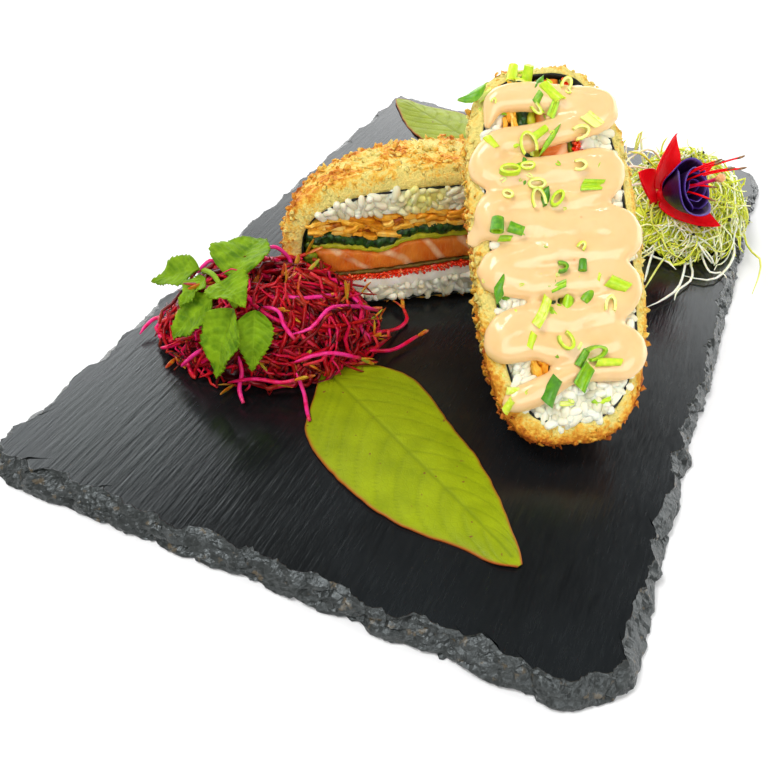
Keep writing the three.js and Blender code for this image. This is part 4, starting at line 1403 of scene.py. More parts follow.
# kind, along, domeward, length, width, turn in degrees, and paleness from 0 dark green to 1 cream
ONION = (
    ("tube", 50, 8, 6, 4, -15, 0.8), ("tube", 49, 4, 7, 4, -10, 0.7), ("curl", 47, 7, 6, 4, -95, 0.8),
    ("blade", 45, 19, 10, 5, -80, 0.35), ("strip", 45, 16, 5, 3, -65, 0.85),
    ("blade", 46, 1, 6, 3, -35, 0.3), ("curl", 44, -6, 5, 4, -25, 0.9),
    ("strip", 42, -2, 8, 4, -145, 0.75), ("strip", 41, 2, 4, 3, -35, 0.4),
    ("curl", 39, 3, 6, 3, -145, 0.8), ("strip", 38, -2, 6, 3, -25, 0.5),
    ("strip", 33, -12, 6, 4, -135, 0.85), ("curl", 30, -8, 7, 5, -75, 0.9),
    ("blade", 29, 0, 12, 2, -40, 0.45), ("curl", 28, 6, 9, 6, 10, 0.75),
    ("tube", 31, 3, 6, 3, -60, 0.7), ("strip", 30, 16, 5, 3, -145, 0.85),
    ("curl", 21, -7, 5, 4, -95, 0.9), ("blade", 23, 8, 6, 2, -85, 0.45),
    ("ring", 21, 12, 7, 4, -95, 0.7), ("ring", 22, 7, 5, 3, -95, 0.8),
    ("strip", 15, -10, 7, 4, -95, 0.45), ("ring", 17, 5, 6, 4, -95, 0.9),
    ("curl", 12, 5, 9, 5, 10, 0.85), ("blade", 13, 3, 6, 4, -25, 0.2), ("ring", 12, 0, 6, 4, -40, 0.65),
    ("ring", 15, 13, 4, 3, -115, 0.9), ("tube", 6, 17, 5, 5, -10, 0.3),
    ("tube", 5, 12, 5, 4, -115, 0.35), ("strip", 3, 15, 4, 3, -100, 0.55),
    ("curl", -2, -5, 4, 3, -40, 0.8), ("curl", -7, 1, 5, 4, -95, 0.25),
    ("tube", -7, -5, 4, 3, -10, 0.25), ("blade", -11, 18, 9, 4, -20, 0.3),
    ("strip", -14, 17, 5, 3, -45, 0.35), ("strip", -12, 2, 5, 3, -75, 0.35),
    ("strip", -13, -14, 7, 5, -115, 0.7), ("strip", -15, -6, 6, 4, -35, 0.4),
    ("curl", -19, -11, 7, 4, -10, 0.9), ("strip", -19, 7, 10, 4, -30, 0.7),
    ("strip", -17, 0, 6, 4, -15, 0.6), ("strip", -26, 11, 5, 3, -25, 0.8),
    ("curl", -27, 2, 7, 5, -155, 0.7), ("curl", -31, -5, 8, 5, -75, 0.4),
    ("tube", -32, -2, 6, 3, -35, 0.35), ("strip", -34, -9, 8, 3, -95, 0.8),
    ("strip", -37, -2, 8, 5, -30, 0.25), ("strip", -40, 7, 9, 5, -25, 0.25),
    ("strip", -39, 17, 5, 3, -90, 0.9), ("strip", -43, 19, 5, 3, -45, 0.85),
    ("strip", -44, 3, 5, 2, -80, 0.8), ("strip", -44, -7, 5, 2, -75, 0.75),
)


class OnionSettings(bpy.types.PropertyGroup):
    wall: length_setting("Wall", "Thickness of the onion's wall", 0.75)
    bits: IntProperty(name="Bits", description="Small chopped bits between the larger pieces", default=48)
    tilt: angle_setting("Tilt", "How unevenly the pieces lie", 22)


def thick_sheet(front, back, closed=False):
    """Points and faces of a wall between two grids of points, closed round its rims. A closed sheet
    has its last column joined to its first."""
    rows, columns, _ = front.shape
    count = rows * columns
    faces = grid_faces(rows, columns, closed=closed)
    number = np.arange(count).reshape(rows, columns)
    if closed:
        rims = [number[0], number[-1, ::-1]]
    else:
        rims = [np.concatenate([number[0], number[1:, -1], number[-1, -2::-1], number[-2:0:-1, 0]])]
    walls = []
    for rim in rims:
        after = np.roll(rim, -1)
        walls.append(np.stack([rim, rim + count, after + count, after], -1))
    points = np.concatenate([front.reshape(-1, 3), back.reshape(-1, 3)])
    return points, np.concatenate([faces, faces[:, ::-1] + count, *walls])


def grid_of(*parts):
    """A grid of points from the x, y and z of each, which may be rows, columns or grids of numbers."""
    return np.stack(np.broadcast_arrays(*parts), -1)


def sheet_piece(name, front, back, **values):
    """A thick sheet as a piece. Each further value is a grid of numbers for both sides, or one for each."""
    points, faces = thick_sheet(front, back)
    both_sides = (2, *front.shape[:2])
    kept = {key: np.broadcast_to(value, both_sides).ravel() for key, value in values.items()}
    piece = new_piece(name, points, [faces], **kept)
    merge_and_face_out(piece)
    return piece


ONION_TURN = {"ring": 360, "tube": 360, "curl": 250, "strip": 150, "blade": 110}


def onion_piece(kind, length, width, wall, rng):
    """One cut piece of onion leaf, lying level: x along it, z up. Returns points, faces, sidedness."""
    rows, columns = 6, 14
    length, width = length * 0.85, width * 0.8
    closed = kind in ("ring", "tube")
    spread = math.radians(ONION_TURN[kind] * (1 if closed else rng.uniform(0.85, 1.1)))
    turn = np.linspace(-spread / 2, spread / 2, columns, endpoint=not closed)
    u = np.linspace(-0.5, 0.5, rows)[:, None]
    sides = []
    for thin in (0.0, wall):
        if kind in ("ring", "curl"):
            x = (length / 2 - thin) * np.cos(turn)
            y = (width / 2 - thin) * np.sin(turn)
            z = u * min(2.6, 0.6 * width) * (1 + 0.15 * np.cos(turn * 2))
        else:
            radius = width / 2 / (1 if closed else math.sin(spread / 2)) - thin
            y = radius * np.sin(turn)
            z = radius * (0.7 if closed else 1.0) * np.cos(turn)
            z = z - (0 if closed else radius * math.cos(spread / 2) * 0.9)
            x = u * length + (0 if kind == "tube" else 0.35) * y
            y = y * (1 - 0.85 * np.abs(2 * u) ** 2 if kind == "blade" else 1 - 0.15 * (u + 0.5))
            z = z + (0.02 if kind == "blade" else 0.0) * (u * length) ** 2
        sides.append(grid_of(x, y, z))
    points, faces = thick_sheet(*sides, closed)
    points[:, 2] += rng.uniform(-0.07, 0.07) * points[:, 0] ** 2
    if kind == "strip" and rng.random() < 0.4:
        points[:, 2] *= -1
        faces = faces[:, ::-1]
    return points, faces, np.repeat([0.0, 1.0], rows * columns)


def surface_under(pieces, half):
    """A tree of some pieces' faces in a half's own axes, for dropping things onto them."""
    points, faces, start = [], [], 0
    for piece in pieces:
        points.append(half.local(piece_points(piece)))
        faces += [[start + v for v in polygon.vertices] for polygon in piece.data.polygons]
        start += len(points[-1])
    return BVHTree.FromPolygons([Vector(p) for p in np.concatenate(points)], faces)


class PART_OT_spring_onion(bpy.types.Operator):
    """Build the chopped spring onion strewn over the sauce"""

    bl_idname = "part.spring_onion"
    bl_label = "Spring Onion"

    def execute(self, context):
        settings = context.scene.onion_settings
        rng = np.random.default_rng(53)
        under = [f"leaning_half_{name}" for name in ("crust_body", "rice_base_core", "rice_top_core")]
        tree = surface_under([bpy.data.objects[name] for name in ("sauce", *under)], LEANING)
        points, faces, tones, inners, start = [], [], [], [], 0
        for kind, along, domeward, length, width, turn, pale in (*ONION, *self.bits(settings.bits, rng)):
            height, axes = self.lie(tree, along, domeward, turn, math.tan(settings.tilt), rng)
            wall = settings.wall / MM * min(1, width / 3)
            made, sides, inner = onion_piece(kind, length, width, wall, rng)
            made[:, 2] -= made[:, 2].min() + 0.35
            points.append(LEANING.world(made @ axes.T + [along, height, domeward]))
            faces.append(sides + start)
            tones.append(np.full(len(made), pale))
            inners.append(inner)
            start += len(made)
        points, faces, tones, inners = (np.concatenate(p) for p in (points, faces, tones, inners))
        onion = new_piece("spring_onion", points, [faces], tone=tones, inner=inners)
        merge_and_face_out(onion, 0.0002)
        bpy.ops.object.shade_smooth_by_angle(angle=math.radians(50))
        add_to_part(onion, onion_finish(), None)
        return {"FINISHED"}

    def bits(self, count, rng):
        """Small bits, each strewn near one of the larger pieces."""
        made = []
        for number in rng.integers(0, len(ONION), count):
            _, along, domeward, *_ = ONION[number]
            kind = ("strip", "curl", "blade")[number % 3]
            shift = rng.normal(0, 4, 2)
            length = rng.uniform(1.5, 3.0)
            width = length * rng.uniform(0.4, 0.9)
            turn, pale = rng.uniform(-180, 180), rng.uniform(0.3, 1.0)
            made.append((kind, along + shift[0], domeward + shift[1], length, width, turn, pale))
        return made

    def lie(self, tree, along, domeward, turn, unevenness, rng):
        """How high a piece lies where it is dropped onto the cut, and its axes."""
        out = np.array([0, -1.0, 0])
        place, normal, *_ = tree.ray_cast(Vector((along, -30.0, domeward)), Vector((0, 1, 0)))
        height = place.y if place and place.y < 2.0 else -1.0
        normal = np.array(normal) if normal else out
        normal = normal if normal[1] < 0 else -normal
        up = unit(out * 1.6 + normal + rng.normal(0, unevenness, 3))
        ahead = np.array([math.cos(math.radians(turn)), 0.0, math.sin(math.radians(turn))])
        ahead = unit(ahead - up * (ahead @ up))
        return height, np.stack([ahead, np.cross(up, ahead), up], -1)


def onion_finish():
    finish = Finish("Spring onion", roughness=0.3, specular=0.35, subsurface=0.3, reach=0.8)
    where = finish.place()
    tone = finish.plus(finish.kept("tone"), finish.times(finish.kept("inner"), 0.22))
    colours = (0.0, "25581c"), (0.3, "5a9c22"), (0.6, "a8d41c"), (0.85, "d4e83a"), (1.0, "ecf096")
    green = finish.ramp(finish.plus(tone, finish.uneven(where, 0.9, 2.0, 0.08)), *colours)
    return finish.finished(green, finish.stretched(where, (2.0, 2.0, 0.4)), 1.0, 2.0, 0.08)


# ---------------------------------------------------------------- broad leaves

# share of the length, and the half widths of the left and the right side in shares of the whole width
LEAF_OUTLINE = (
    (0, 0.02, 0.02), (0.03, 0.13, 0.07), (0.08, 0.34, 0.16), (0.15, 0.45, 0.3), (0.22, 0.5, 0.43),
    (0.33, 0.48, 0.5), (0.47, 0.41, 0.5), (0.6, 0.37, 0.46), (0.73, 0.3, 0.37), (0.85, 0.19, 0.21),
    (0.95, 0.09, 0.12), (1, 0.02, 0.02),
)


class LeafSettings(bpy.types.PropertyGroup):
    thickness: length_setting("Thickness", "Thickness of the broad leaves", 0.5)
    arch: length_setting("Arch", "How far a broad leaf rises along its middle", 1.4)
    mint_light: colour_setting("Mint", "The mint's lighter green", (0.21, 0.36, 0.006))


def leaf_axes(node, root, face):
    """A leaf's base, length, width and axes (along, across, up) from its CAD node. root is a point near
    its base, and face a direction that its upper side is turned towards."""
    points = node_points(node)
    base = points[np.argmin(np.linalg.norm(points - root, axis=1))]
    tip = points[np.argmax(np.linalg.norm(points - base, axis=1))]
    length = np.linalg.norm(tip - base)
    along = (tip - base) / length
    rest = points - points.mean(0)
    rest = rest - (rest @ along)[:, None] * along
    _, _, axes = np.linalg.svd(rest, full_matrices=False)
    across = unit(axes[0] - along * (axes[0] @ along))
    up = np.cross(along, across)
    if up @ face < 0:
        across, up = -across, -up
    spread = rest @ across
    return base, length, spread.max() - spread.min(), np.stack([along, across, up], -1)


def vein_closeness(along, side, length, starts, reach, width=0.5):
    """1 on the veins that leave the midrib forwards, falling to 0 between them."""
    forward = reach * (np.abs(side) + np.abs(side) ** 2) / 2
    away = np.min([np.abs(along - start - forward) * length for start in starts], axis=0)
    return np.exp(-((away / width) ** 2))


VEIN_STARTS = np.array([0.02, 0.07, 0.13, 0.21, 0.3, 0.4, 0.49, 0.58, 0.67, 0.76, 0.84])


class PART_OT_broad_leaves(bpy.types.Operator):
    """Build the two broad leaves that lie on the board"""

    bl_idname = "part.broad_leaves"
    bl_label = "Broad Leaves"

    def execute(self, context):
        settings = context.scene.leaf_settings
        finish = broad_leaf_finish()
        for node, root in (("leaf_front", (-22.0, -70.5, 7.0)), ("leaf_back", (-7.0, 90.0, 7.0))):
            add_to_part(self.leaf(node, np.array(root), settings), finish, "broad_leaf", node)
        return {"FINISHED"}

    def leaf(self, node, root, settings):
        base, length, width, axes = leaf_axes(node, root, UP)
        outline = smooth_route(LEAF_OUTLINE, 6)
        along = np.linspace(0, 1, 121)[:, None]
        side = np.linspace(-1, 1, 45)[None]
        left, right = (np.interp(along, outline[:, 0], outline[:, k]) * width for k in (1, 2))
        waves = np.column_stack([along * length, along * 0, along * 0 + 3])
        wave = (0.6 * noise_at(waves, 7.0) + 0.3 * noise_at(waves, 2.5))[:, None]
        reach = np.where(side < 0, right, left) + wave * np.sin(along * np.pi)
        across = side * reach
        inside_rim = np.abs(side) < 0.93
        veins = vein_closeness(along, side, length, VEIN_STARTS, 0.3 - 0.1 * along) * inside_rim
        midrib = np.exp(-((across / 0.5) ** 2)) * (along < 0.97)
        flat = grid_of(along * length, across, 0.0)
        wavy = layered_noise(flat.reshape(-1, 3), 16.0, 2, 7).reshape(across.shape)
        rise = settings.arch / MM * (0.75 - side**2) + 0.5 * wavy * np.abs(side)
        rise = rise * smooth_step(0, 0.12, along) * smooth_step(1.0, 0.9, along)
        front = flat @ axes.T + base
        front[..., 2] = board_top() + 1.15 + rise - 0.22 * np.maximum(veins, midrib)
        back = front - [0, 0, settings.thickness / MM]
        rim = np.exp(-(((1 - np.abs(side)) * reach / 0.55) ** 2))
        return sheet_piece(f"{node}_blade", front, back, vein=np.maximum(veins * 0.75, midrib), rim=rim)


def broad_leaf_finish():
    finish = Finish("Broad leaf", roughness=0.5, specular=0.15, subsurface=0.1, reach=0.6)
    where = finish.place()
    patch = finish.mottled(where, 8.0, 1.8, "7e8e08", "99a80e")
    net = finish.add("ShaderNodeTexVoronoi", Vector=where, Scale=0.7)
    net.feature = "DISTANCE_TO_EDGE"
    from_vein = net.outputs["Distance"]
    body = finish.mix(finish.between(from_vein, 0.0, 0.14, 0.12, 0.0), patch, "6f7d0c")
    veined = finish.mix(finish.times(finish.kept("vein"), 0.55), body, "66760c")
    spots = finish.between(finish.noise(where, 0.55, 1.0), 0.74, 0.78)
    spotted = finish.mix(spots, veined, "7a5420")
    finish.colour(finish.mix(finish.kept("rim"), spotted, "a4501c"))
    finish.rough(finish.between(finish.noise(where, 0.3, 2.0), 0.3, 0.7, 0.38, 0.52))
    finish.bump(finish.between(from_vein, 0.0, 0.14), 0.03)
    return finish.material


# ---------------------------------------------------------------- mint

MINT_ROUTE = ((-62, -71.5, 32), (-60, -73, 33.5), (-55, -76.5, 35.5), (-50, -80, 34.8), (-44, -82.5, 31))
# how far the top leaf, the fourth, stands from its place in the CAD; it also droops more
MINT_SHIFTS = {4: np.array([3.6, 1.5, 0])}


class PART_OT_mint(bpy.types.Operator):
    """Build the sprig of mint: its stem and quilted, toothed leaves"""

    bl_idname = "part.mint"
    bl_label = "Mint"

    def execute(self, context):
        finish = mint_finish(context.scene.leaf_settings.mint_light)
        route = smooth_route(MINT_ROUTE, 6)
        radii = np.linspace(0.95, 0.7, len(route))[None]
        stem = strands("mint_sprig_stem", route[None], radii, 10, vein=np.ones(1), tone=np.full(1, 0.8))
        add_to_part(stem, finish, "mint", "mint_stem")
        toward = unit(np.array([0.25, -0.6, 0.75]))
        for number in range(1, 8):
            node = f"mint_leaf_{number}"
            points = node_points(node)
            gaps = np.linalg.norm(points[:, None] - route[None], axis=2)
            root = points[np.unravel_index(np.argmin(gaps), gaps.shape)[0]]
            base, length, width, axes = leaf_axes(node, root, toward)
            base = base + MINT_SHIFTS.get(number, 0)
            leaf = self.leaf(f"{node}_blade", base, length, max(width, 8.0), axes, number)
            add_to_part(leaf, finish, "mint", node)
        return {"FINISHED"}

    def leaf(self, name, base, length, width, axes, number):
        along = np.linspace(0, 1, 79)[:, None]
        side = np.linspace(-1, 1, 21)[None]
        half_width = width * 0.53 * np.sin(np.pi * along**0.64) ** 1.15 + 0.35 * (1 - along) ** 4
        toothed = smooth_step(0.1, 0.25, along) * smooth_step(1.0, 0.9, along)
        teeth = 0.7 * (1 - (along * 12.0) % 1.0) * toothed
        across = side * (half_width + teeth * np.abs(side) ** 3)
        veins = vein_closeness(along, side, length, np.linspace(0.03, 0.82, 8), 0.2, 0.32)
        midrib = np.exp(-((across / 0.38) ** 2))
        flat = grid_of(along * length, across, number).reshape(-1, 3)
        quilt = layered_noise(flat, 2.6, 2, 11 + number).reshape(across.shape)
        fold = 0.32 * np.abs(across) - 0.1
        droop = -0.16 * length * (along - 0.35) ** 2 * (2.4 if number in MINT_SHIFTS else 1)
        ripple = 0.7 * np.sin(along * 13 + number) * side**2
        between = 1 - np.maximum(veins, midrib)
        up = fold + droop + ripple + 0.26 * (between - 0.5) + 0.5 * quilt
        up = np.where(np.abs(side) > 0.98, up - 0.15, up)
        grid = grid_of(along * length, across, up)
        front, back = (side_grid @ axes.T + base for side_grid in (grid, grid - [0, 0, 0.4]))
        tone = np.array([0.25 + 0.09 * (number % 3), 0.75])[:, None, None]
        return sheet_piece(name, front, back, vein=np.maximum(0.8 * veins, midrib), tone=tone)


def mint_finish(light):
    finish = Finish("Mint", roughness=0.55, specular=0.1, subsurface=0.15, reach=0.8)
    where = finish.place()
    patch = finish.mottled(where, 4.0, 3.0, "3a6402", tuple(light))
    veined = finish.mix(finish.times(finish.kept("vein"), 0.4), patch, "90b024")
    toned = finish.mix(finish.times(finish.kept("tone"), 0.5), veined, "88b01e")
    return finish.finished(toned, where, 1.6, 3.0, 0.22)


# ---------------------------------------------------------------- sprouts

# paleness, then the points along a straggling sprout
BEET_STRAGGLERS = (
    (0.9, (-23, -85, 16), (-20, -86, 10), (-17, -90, 8), (-14, -94, 8)),
    (0.95, (-27, -79, 25), (-23, -75, 26), (-21, -68, 29), (-19, -62, 27), (-16, -53, 22), (-13, -49, 19)),
    (0.95, (-38, -77, 30), (-33, -77, 30), (-30, -79, 27), (-26, -80, 24)),
    (1.0, (-34, -72, 32), (-29, -69, 31), (-25, -64, 30), (-22, -56, 27)),
    (0.9, (-81, -83, 9), (-81, -79, 10), (-79, -75, 11), (-70, -74, 11)),
    (0.7, (-71, -86, 9), (-68, -87, 11), (-63, -86, 14)),
    (0.9, (-60, -91, 9), (-56, -90, 14), (-53, -89, 17)),
    (0.9, (-40, -89, 19), (-38, -91, 15), (-38, -93, 10), (-35, -96, 8)),
    (0.6, (-14, -58, 15), (-11, -50, 12), (-9, -41, 8), (-8, -35, 8), (-11, -31, 9)),
    (0.7, (-9, -63, 14), (-5, -53, 9), (-1, -43, 9)),
    (1.0, (-48, -58, 37), (-45, -56, 37), (-42, -54, 33), (-40, -55, 29)),
    (0.95, (-64, -72, 31), (-62, -71, 34), (-60, -69, 35), (-55, -66, 31)),
    (0.9, (-24, -84, 19), (-20, -80, 20), (-15, -76, 20), (-9, -70, 16)),
    (0.8, (-42, -93, 11), (-34, -91, 14), (-27, -88, 13), (-23, -86, 14)),
)
LEEK_STRAGGLERS = (
    (0.95, (59, 54, 16), (59, 50, 13), (59, 43, 8), (60, 27, 8)),
    (0.6, (68, 57, 18), (67, 53, 16), (63, 43, 8), (61, 23, 8)),
    (1.0, (67, 57, 18), (71, 50, 9), (72, 30, 8), (68, 18, 8), (64, 11, 8)),
    (0.95, (70, 55, 15), (73, 49, 8), (75, 42, 8), (75, 35, 8), (72, 27, 8), (72, 20, 8)),
    (0.95, (75, 55, 12), (77, 52, 9), (81, 45, 8), (85, 47, 8), (87, 44, 8)),
    (1.0, (84, 70, 12), (87, 66, 9), (87, 55, 8), (83, 41, 8), (76, 38, 8), (72, 38, 8)),
    (0.4, (82, 75, 11), (88, 79, 10), (92, 70, 8), (97, 64, 8), (98, 54, 7), (97, 39, 7)),
    (0.95, (55, 47, 8), (59, 46, 8), (65, 45, 8), (69, 41, 8)),
    (0.3, (74, 86, 24), (77, 80, 28), (80, 80, 29), (83, 80, 31), (82, 80, 25)),
    (0.9, (72, 72, 21), (76, 71, 21), (81, 78, 19), (85, 78, 21), (88, 77, 22)),
    (0.35, (60, 91, 27), (61, 88, 35), (65, 87, 29)),
    (0.6, (39, 89, 26), (39, 88, 35), (40, 88, 38), (40, 88, 34), (39, 89, 25)),
    (0.4, (67, 88, 27), (68, 87, 33), (70, 88, 27)),
    (0.9, (44, 84, 26), (42, 84, 32), (41, 84, 36), (43, 84, 37)),
    (0.5, (34, 86, 24), (34, 86, 31), (35, 85, 34)),
    (1.0, (43, 76, 26), (38, 74, 32), (37, 72, 38)),
    (0.95, (48, 80, 28), (42, 77, 34), (37, 73, 32), (36, 70, 26)),
    (0.9, (52, 78, 31), (46, 74, 37), (40, 69, 34), (37, 65, 28)),
    (1.0, (47, 70, 31), (40, 67, 31), (36, 63, 24)),
    (0.3, (49, 92, 25), (49, 91, 33), (50, 91, 36)),
    (1.0, (50, 66, 27), (43, 62, 26), (38, 59, 18)),
    (0.35, (50, 74, 30), (44, 72, 35), (39, 68, 37)),
)
# shares of a heap's height, and its reach at each in shares of its foot's
HEAP_LEVELS = ((0.0, 0.24, 0.56, 0.85, 1.0), (1.0, 0.94, 0.78, 0.53, 0.2))


class SproutSettings(bpy.types.PropertyGroup):
    beet_stems: IntProperty(name="Beet stems", description="Stems in the beet heap", default=430)
    beet_width: length_setting("Beet stem", "Width of a beet stem", 1.35)
    leek_stems: IntProperty(name="Leek stems", description="Stems in the leek heap", default=925)
    leek_width: length_setting("Leek stem", "Width of a leek stem", 0.72)


class Heap:
    """A heap of sprouts on the board, from its half length, half width and heading. Its foot comes
    nearer on its slack side."""

    def __init__(self, node, length, width, heading, height=1.0, slack=0.0, slack_side=0.0):
        low, high = node_box(node)
        self.middle = np.array([(low[0] + high[0]) / 2, (low[1] + high[1]) / 2, low[2]])
        self.height = (high[2] - low[2]) * height
        self.half = np.array([length, width])
        turn = math.radians(heading)
        self.turn = np.array([[math.cos(turn), -math.sin(turn)], [math.sin(turn), math.cos(turn)]])
        self.slack, self.slack_side = slack, math.radians(slack_side)

    def narrowing(self, around):
        """How much nearer the heap's foot comes on its slack side."""
        return 1 - self.slack * np.maximum(np.cos(around - self.slack_side), 0) ** 1.5

    def pull_in(self, core):
        """Brings the matted inside in on the slack side too."""
        points = piece_points(core)
        flat = (points[:, :2] - self.middle[:2]) @ self.turn
        flat *= self.narrowing(np.arctan2(flat[:, 1], flat[:, 0]))[:, None]
        points[:, :2] = flat @ self.turn.T + self.middle[:2]
        move_points(core, points)

    def place(self, around, level, share):
        """Points at an angle round the heap, a share of its height up and a share of its width out."""
        reach = np.interp(level, *HEAP_LEVELS) * share * self.narrowing(around)
        flat = np.stack([np.cos(around) * reach * self.half[0], np.sin(around) * reach * self.half[1]], -1)
        flat = flat @ self.turn.T + self.middle[:2]
        return np.concatenate([flat, (self.middle[2] + level * self.height * share)[..., None]], -1)

    def tangle(self, count, steps, length, rng, wander=0.35, curl=0.5):
        """Paths that lie round the heap at all depths, as sprouts do."""
        around = rng.uniform(0, 2 * np.pi, count)
        level = rng.uniform(0.02, 0.99, count) ** 0.9
        share = rng.uniform(0.74, 1.0, count)
        t = np.linspace(-0.5, 0.5, steps)[None]
        lean = rng.uniform(-1.3, 1.3, count)[:, None]
        run = (length * rng.uniform(0.6, 1.15, count))[:, None]
        bend = rng.normal(0, curl, count)[:, None]
        ahead = lean + bend * t * 2
        size = self.half.mean() * np.maximum(0.35, np.interp(level, *HEAP_LEVELS))
        across = np.cumsum(np.cos(ahead), axis=1) * run / steps
        upward = np.cumsum(np.sin(ahead), axis=1) * run / steps
        across, upward = (v - v[:, steps // 2, None] for v in (across, upward))
        turned = around[:, None] + across / size[:, None]
        levels = np.abs(level[:, None] + upward / self.height)
        # a path that goes over the top comes down again
        levels = levels - 1.6 * np.maximum(levels - 1, 0)
        out = share[:, None] * (1 + 0.05 * np.sin(t * 5 + rng.uniform(0, 6, count)[:, None]))
        out = out + 0.06 * (np.abs(t) > 0.42) * rng.uniform(-1, 2, count)[:, None]
        paths = self.place(turned, np.clip(levels, 0, 1), out)
        shift = rng.normal(0, wander, (count, steps, 3)).cumsum(axis=1) * 0.5
        paths = paths + shift - shift[:, steps // 2][:, None]
        paths[..., 2] = np.maximum(paths[..., 2], self.middle[2] + 0.6)
        return paths


def even_paths(routes, steps):
    """Smooth paths through given points, all with the same number of evenly spaced points."""
    paths = []
    for route in routes:
        smooth = smooth_route(np.array(route, float), 8)
        passed = np.concatenate([[0], np.cumsum(np.linalg.norm(np.diff(smooth, axis=0), axis=1))])
        at = np.linspace(0, passed[-1], steps)
        paths.append(np.stack([np.interp(at, passed, smooth[:, k]) for k in range(3)], -1))
    return np.array(paths)


def heap_core(name, node, shrink, finish, slot, seed, tone=0.0):
    """The matted inside of a heap, which replaces its CAD node."""
    core = node_copy(node, name)
    remeshed(core, 1.2)
    relax(core, 8)
    roughen(core, 1.6, 2.6, 4, seed, swell=-shrink)
    points = piece_points(core)
    points[:, 2] = np.maximum(points[:, 2], node_box(node)[0][2])
    move_points(core, points)
    set_everywhere(core, tone=tone, along=0.5)
    return add_to_part(core, finish, slot, node)


def heap_stems(name, paths, strays, tone, width, stray_width, taper, sides):
    """The stems of a heap, with the stragglers' own tones and widths for the last ones."""
    tone[-len(strays) :] = [stray[0] for stray in strays]
    width[-len(strays) :] = stray_width
    steps = paths.shape[1]
    taper = np.interp(np.linspace(0, 1, steps), *taper)
    return strands(name, paths, width[:, None] * taper[None], sides, tone=tone)


def seed_leaf_shapes():
    """Long narrow seed leaves, lying along z from the foot, folded a little along the middle."""
    shapes = []
    for bend in (0.12, -0.1, 0.25):
        bpy.ops.mesh.primitive_uv_sphere_add(segments=8, ring_count=7, radius=0.5 * MM)
        leaf = bpy.context.object
        with editing(leaf):
            bpy.ops.transform.resize(value=(0.27, 0.09, 1.0))
            bpy.ops.transform.translate(value=(0, 0, 0.45 * MM))
        points = piece_points(leaf)
        points[:, 1] += bend * points[:, 2] ** 2 + 1.2 * points[:, 0] ** 2
        move_points(leaf, points)
        shapes.append(Shape(leaf))
    return shapes


class PART_OT_beet_sprouts(bpy.types.Operator):
    """Build the heap of beet sprouts with their seed leaves"""

    bl_idname = "part.beet_sprouts"
    bl_label = "Beet Sprouts"

    def execute(self, context):
        settings = context.scene.sprout_settings
        rng = np.random.default_rng(61)
        finish = beet_finish()
        # the matted inside keeps tone 0, the darkest red: painted shade deep in the heap
        core = heap_core("beet_painted_shade_core", "beet_sprouts", 4.2, finish, "beet_sprouts", 3)
        heap = Heap("beet_sprouts", 39.0, 27.0, 12.0, slack=0.24, slack_side=-32)
        heap.pull_in(core)
        paths = heap.tangle(settings.beet_stems, 15, 44.0, rng, 0.9, 1.1)
        paths = np.concatenate([paths, even_paths([s[1:] for s in BEET_STRAGGLERS], 15)])
        count = len(paths)
        # stems are painted brighter towards the outside and the top of the heap and darker inside it: painted
        # light and shade
        middles = paths.mean(1) - heap.middle
        outward = np.linalg.norm(middles[:, :2], axis=1) / heap.half.mean()
        bright = np.clip(outward * 0.5 + middles[:, 2] / heap.height * 0.5, 0, 1)
        tone = np.clip(rng.uniform(0.12, 0.95, count) * (0.32 + 0.9 * bright), 0, 1)
        radius = settings.beet_width / MM / 2
        width = radius * rng.uniform(0.6, 1.35, count)
        taper = ([0, 0.15, 0.8, 1], [0.35, 0.9, 1.0, 0.8])
        stems = heap_stems("beet_stems", paths, BEET_STRAGGLERS, tone, width, radius * 1.05, taper, 5)
        add_to_part(stems, finish, "beet_sprouts")
        self.roots(heap, finish, rng)
        self.seed_leaves(paths, len(BEET_STRAGGLERS), rng)
        return {"FINISHED"}

    def roots(self, heap, finish, rng):
        count = 260
        paths = heap.tangle(count, 10, 17.0, rng, 0.7)
        tone = rng.uniform(-0.3, 0.15, count)
        roots = strands("beet_roots", paths, np.full((count, 10), 0.2), 3, tone=tone)
        add_to_part(roots, finish, "beet_sprouts")

    def seed_leaves(self, paths, strays, rng):
        """Pairs of seed leaves at the ends of some stems."""
        ends = paths[:, -1]
        ahead = paths[:, -1] - paths[:, -3]
        chosen = np.flatnonzero(rng.random(len(paths)) < 0.26)
        chosen = np.unique(np.concatenate([chosen, np.arange(len(paths) - strays + 4, len(paths), 2)]))
        places, lies = np.repeat(ends[chosen], 2, axis=0), unit(np.repeat(ahead[chosen], 2, axis=0))
        apart_by = rng.normal(0, 1, (len(chosen), 3))
        lies = lies + np.stack([apart_by, -apart_by], 1).reshape(-1, 3) * 0.26
        # those near the board lie nearly level
        lies[:, 2] = np.where(places[:, 2] < 10, np.abs(lies[:, 2]) * 0.3, lies[:, 2])
        length = rng.uniform(4.5, 7.5, len(places))
        width = length * rng.uniform(0.7, 1.0, len(places))
        tone = np.clip(rng.normal(0.5, 0.27, len(places)), 0, 1)
        turns = turns_onto(lies, rng.uniform(0, 2 * np.pi, len(places)))
        sizes = np.column_stack([width, width, length])
        leaves = copies("beet_seed_leaves", seed_leaf_shapes(), places, turns, sizes, tone=tone)
        add_to_part(leaves, seed_leaf_finish(), "beet_sprouts")


def beet_finish():
    finish = Finish("Beet stems", roughness=0.3, specular=0.22, subsurface=0.1, reach=0.8)
    where = finish.place()
    tone = finish.plus(finish.kept("tone"), finish.uneven(where, 0.35, 2.0, 0.16))
    colours = (0.0, "300408"), (0.3, "8a0a12"), (0.55, "c40c1c"), (0.78, "de1258"), (1.0, "ec3490")
    tip = finish.between(finish.kept("along"), 0.86, 1.0, 0.0, 0.55)
    return finish.finished(finish.mix(tip, finish.ramp(tone, *colours), "c0401e"), where, 1.2, 2.0, 0.12)


